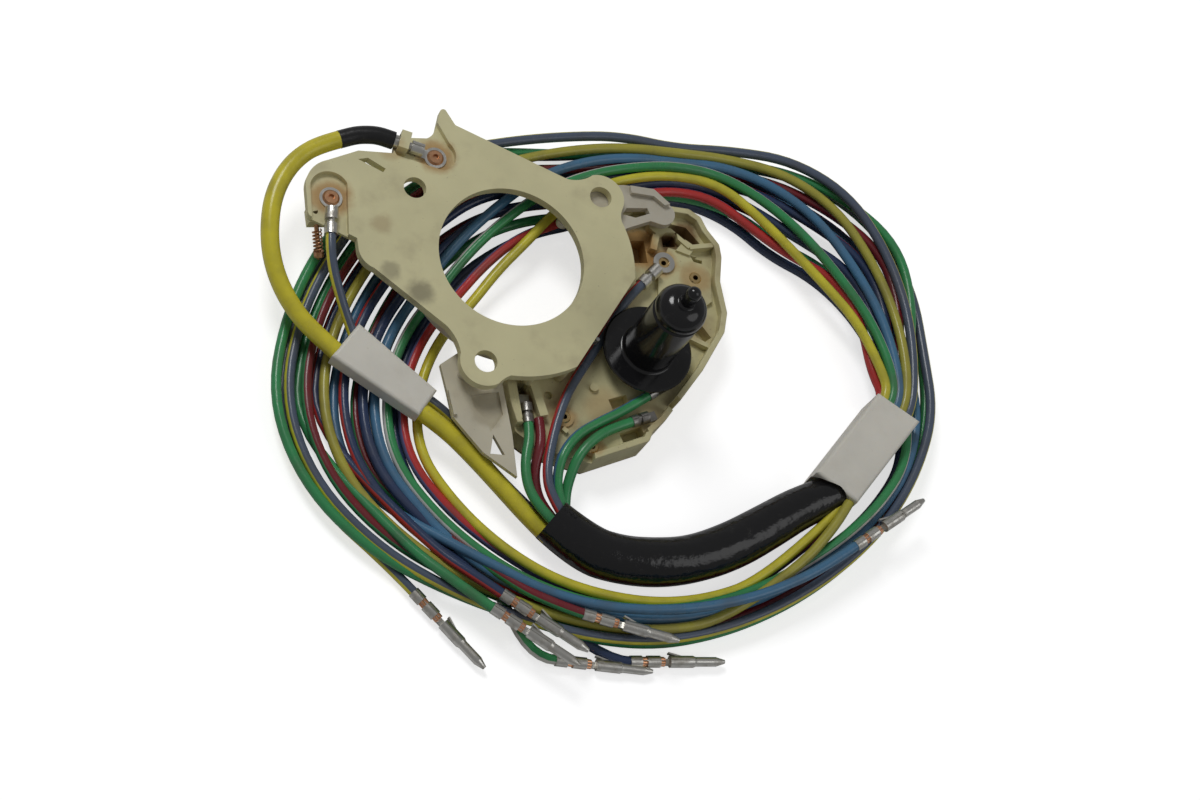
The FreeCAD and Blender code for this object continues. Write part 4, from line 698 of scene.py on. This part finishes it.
LOWER_RUN = (
    (-4.0, 0.00, 0.55, 2.0, 0.0), (22.0, 0.20, 0.96, 2.0, 0.0), (48.0, 0.04, 0.80, 2.0, 0.0),
    (78.0, 0.00, 0.76, 2.0, 0.0), (106.0, 0.00, 0.80, 2.0, 0.0), (132.0, 0.05, 0.95, 1.6, 0.8),
    (156.0, 0.00, 1.00, 1.0, 1.0), (204.0, 0.00, 1.00, 1.0, 1.0), (230.0, 0.00, 0.80, 1.0, 0.1),
    (258.0, 0.00, 0.95, 0.0, 0.0), (296.0, 0.00, 1.00, 0.0, 0.0), (347.0, 0.00, 1.00, 0.0, 0.0),
    (360.0, 0.36, 1.00, 0.0, 0.0), (382.0, 0.20, 1.00, 0.0, 0.0), (408.0, 0.04, 0.92, 0.0, 0.0),
    (438.0, 0.00, 0.90, 0.0, 0.0), (466.0, 0.00, 0.92, 0.0, 0.0), (492.0, 0.02, 0.98, 0.0, 0.8),
    (516.0, 0.00, 1.00, 0.0, 1.0), (640.0, 0.00, 1.00, 0.0, 1.0),
)
RUNS = {"upper": UPPER_RUN, "lower": LOWER_RUN}
WIRES_A_LAYER = 5
SECOND_LAP = 335.0
PAST_PINCH = 362.0
LEFT_WITH_PINS = {"upper": 3, "lower": 4}

# Each wire: its layer, its rank in the layer and lane in the fan on the first lap and on the second one,
# the angle where its run ends, and its last points into the label or a pin, in millimetres.
Wire = namedtuple("Wire", "colour layer rank lane next_rank next_lane last_angle last_points")
COIL_WIRES = (
    Wire("yellow", "upper", 0, 0.05, 0, 0.0, 298.0, (
        (78.6, -69.4, -10.2), (82.4, -64.4, -9.8), (85.6, -60.8, -9.8),
    )),
    Wire("white_green", "upper", 1, 0.26, 0, 0.36, 586.0, ((-5.4, -99.6, -16.4), (1.2, -100.4, -16.2))),
    Wire("blue", "upper", 2, 0.34, 1, 0.61, 560.0, (
        (-13.5, -77.6, -10.2), (0.6, -86.4, -9.0), (16.6, -90.9, -8.6), (34.4, -92.0, -8.2),
        (52.0, -90.0, -7.8), (67.0, -85.4, -7.35), (76.0, -81.2, -7.35), (82.6, -77.7, -7.35),
    )),
    Wire("olive", "upper", 3, 0.67, 1, 0.6, 284.0, (
        (67.4, -81.6, -9.4), (77.6, -72.6, -8.2), (83.4, -66.0, -8.0), (87.0, -61.6, -8.4),
    )),
    Wire("yellow_slate", "upper", 4, 0.89, 2, 0.94, 566.0, ((-38.4, -73.4, -16.4), (-32.1, -81.7, -16.2))),
    Wire("violet_red", "lower", 0, 0.15, 0, 0.1, 298.0, (
        (78.8, -70.6, -14.8), (82.6, -65.4, -14.4), (86.0, -61.4, -14.2),
    )),
    Wire("dark_blue", "lower", 1, 0.42, 0, 0.22, 596.0, ((13.4, -101.4, -16.4), (20.3, -101.9, -16.2))),
    Wire("red_blue", "lower", 2, 0.54, 2, 0.73, 556.0, (
        (-27.4, -71.9, -12.0), (-19.4, -79.6, -9.6), (-12.4, -85.4, -9.1),
    )),
    Wire("green_red", "lower", 3, 0.78, 1, 0.47, 562.0, (
        (-9.6, -82.0, -10.4), (-0.6, -88.2, -8.9), (7.3, -91.5, -8.7),
    )),
    Wire("green", "lower", 4, 0.97, 3, 0.84, 552.0, (
        (-34.4, -70.2, -12.4), (-24.6, -80.6, -9.8), (-15.2, -88.9, -9.1),
    )),
)
STEP_ANGLE = 13.0
COIL_EXIT = (102.3, -40.8)
EXIT_SIDE = (-0.693, 0.721)
EXIT_WAY = (0.721, 0.693)
EXIT_STEPS = (-3.0, 3.5)
EXIT_FIRST = 3.6
EXIT_SPACING = 1.9
EXIT_HEIGHTS = {"upper": -9.6, "lower": -12.4}
WANDER = 0.16


def coil_exit(wire):
    """Two points at the label's end, where the wires leave side by side in two layers."""
    points = []
    aside = EXIT_FIRST - EXIT_SPACING * wire.rank
    for along in EXIT_STEPS:
        x = COIL_EXIT[0] + EXIT_WAY[0] * along + EXIT_SIDE[0] * aside
        y = COIL_EXIT[1] + EXIT_WAY[1] * along + EXIT_SIDE[1] * aside
        points.append((x, y, EXIT_HEIGHTS[wire.layer]))
    return points


def coil_step(wire, angle):
    """One point of a wire's run, with every second wire lifted where its layer is squeezed."""
    low, high, level, fan = between(RUNS[wire.layer], angle)
    first_gaps = WIRES_A_LAYER - 1
    next_gaps = LEFT_WITH_PINS[wire.layer] - 1
    first_share = wire.rank / first_gaps
    next_share = wire.next_rank / next_gaps
    joined = between(((SECOND_LAP, 0.0), (PAST_PINCH, 1.0)), angle)[0]
    across = low + (high - low) * (first_share + (next_share - first_share) * joined)
    on_first_lap = angle < SECOND_LAP
    lane = wire.lane if on_first_lap else wire.next_lane
    across += (lane - across) * fan
    width = coil_room(angle)[1]
    sway = math.sin(math.radians(3.0 * angle) + wire.rank * 2.1) + math.sin(0.11 * angle + wire.rank)
    across += WANDER / width * sway
    if wire.rank % 2 and fan < 0.5:
        spacing = width * (high - low) / (first_gaps if on_first_lap else next_gaps)
        level += math.sqrt(max(THIN * THIN - spacing * spacing, 0.0)) / THIN
    return coil_place(angle, across, level)


def coil_run(wire):
    points = coil_exit(wire)
    angle = 0.0
    while angle < wire.last_angle:
        points.append(coil_step(wire, angle))
        angle += STEP_ANGLE
    points.extend(wire.last_points)
    return points


for number, wire in enumerate(COIL_WIRES):
    lay_cord("coil_wire_%02d" % (number + 1), coil_run(wire), THIN, wire.colour, "wire_coil", "wire_mix")


# Taped sleeve: thick over the switch's leads and thinner towards the right label.

SLEEVE = (
    (3.7, -66.1, -11.7), (11.3, -74.0, -11.7), (20.1, -77.2, -11.7), (29.4, -78.4, -11.7),
    (38.9, -78.0, -11.7), (50.0, -75.1, -11.7), (61.6, -69.9, -11.7), (72.0, -64.9, -11.7),
    (82.0, -61.8, -11.7),
)
SLEEVE_DIAMETER = 12.5
SLEEVE_SWELL = (0.93, 1.0, 0.97, 1.0, 0.96, 1.0, 0.95, 0.88, 0.80)


def tape_sleeve():
    curve = spline_curve("tape_sleeve_cover", SLEEVE, SLEEVE_DIAMETER, 8, 8)
    for point, swell in zip(curve.data.splines[0].points, SLEEVE_SWELL):
        point.radius = swell
    curve.data.materials.append(MATERIALS["tape"])
    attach(curve, "switch")
    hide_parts("tape_sleeve")
    curve_length(SLEEVE)


tape_sleeve()


# Bare copper strands between the crimps of the pins and ring terminals.

PINS = (
    ((-32.3, -81.4, -16.2), (-15.1, -104.2)), ((-12.6, -85.2, -9.1), (8.2, -101.6)),
    ((0.9, -100.4, -16.2), (30.9, -105.7)), ((20.0, -101.9, -16.2), (44.6, -103.4)),
    ((7.0, -91.4, -8.7), (28.8, -98.9)), ((82.4, -77.8, -7.35), (102.6, -67.1)),
    ((-15.5, -88.6, -9.1), (5.3, -105.0)),
)


STRAND_RUNS = ((2.7, 2.0), (7.5, 1.5))
STRAND_RADIUS = 1.25
STRAND_LEAN = 0.12


def strand_bundle(grid, start, way, length, radius):
    """Seven fine wires side by side, the outer six round the middle one."""
    turn = way.to_track_quat("Z", "Y").to_matrix().to_4x4()
    lean = Matrix.Rotation(STRAND_LEAN, 4, "X")
    thin = radius * 0.36
    for place in range(7):
        angle = place * math.tau / 6.0
        aside = 0.0 if place == 6 else radius - thin
        offset = Vector((aside * math.cos(angle), aside * math.sin(angle), length * 0.5))
        laid = Matrix.Translation(start) @ turn @ Matrix.Translation(offset) @ lean
        bmesh.ops.create_cone(
            grid, cap_ends=True, segments=10, radius1=thin * MM, radius2=thin * MM, depth=length * MM,
            matrix=Matrix.Translation(laid.translation * MM) @ laid.to_3x3().to_4x4(),
        )


def crimp_strands():
    grid = bmesh.new()
    for start, end in PINS:
        begin = Vector(start)
        way = (Vector((end[0], end[1], start[2])) - begin).normalized()
        for along, length in STRAND_RUNS:
            strand_bundle(grid, begin + way * along, way, length, STRAND_RADIUS)
    mesh = bpy.data.meshes.new("crimp_strands")
    grid.to_mesh(mesh)
    grid.free()
    strands = bpy.data.objects.new("crimp_strands", mesh)
    mesh.materials.append(MATERIALS["strands"])
    bpy.context.scene.collection.objects.link(strands)
    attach(strands, "switch")


crimp_strands()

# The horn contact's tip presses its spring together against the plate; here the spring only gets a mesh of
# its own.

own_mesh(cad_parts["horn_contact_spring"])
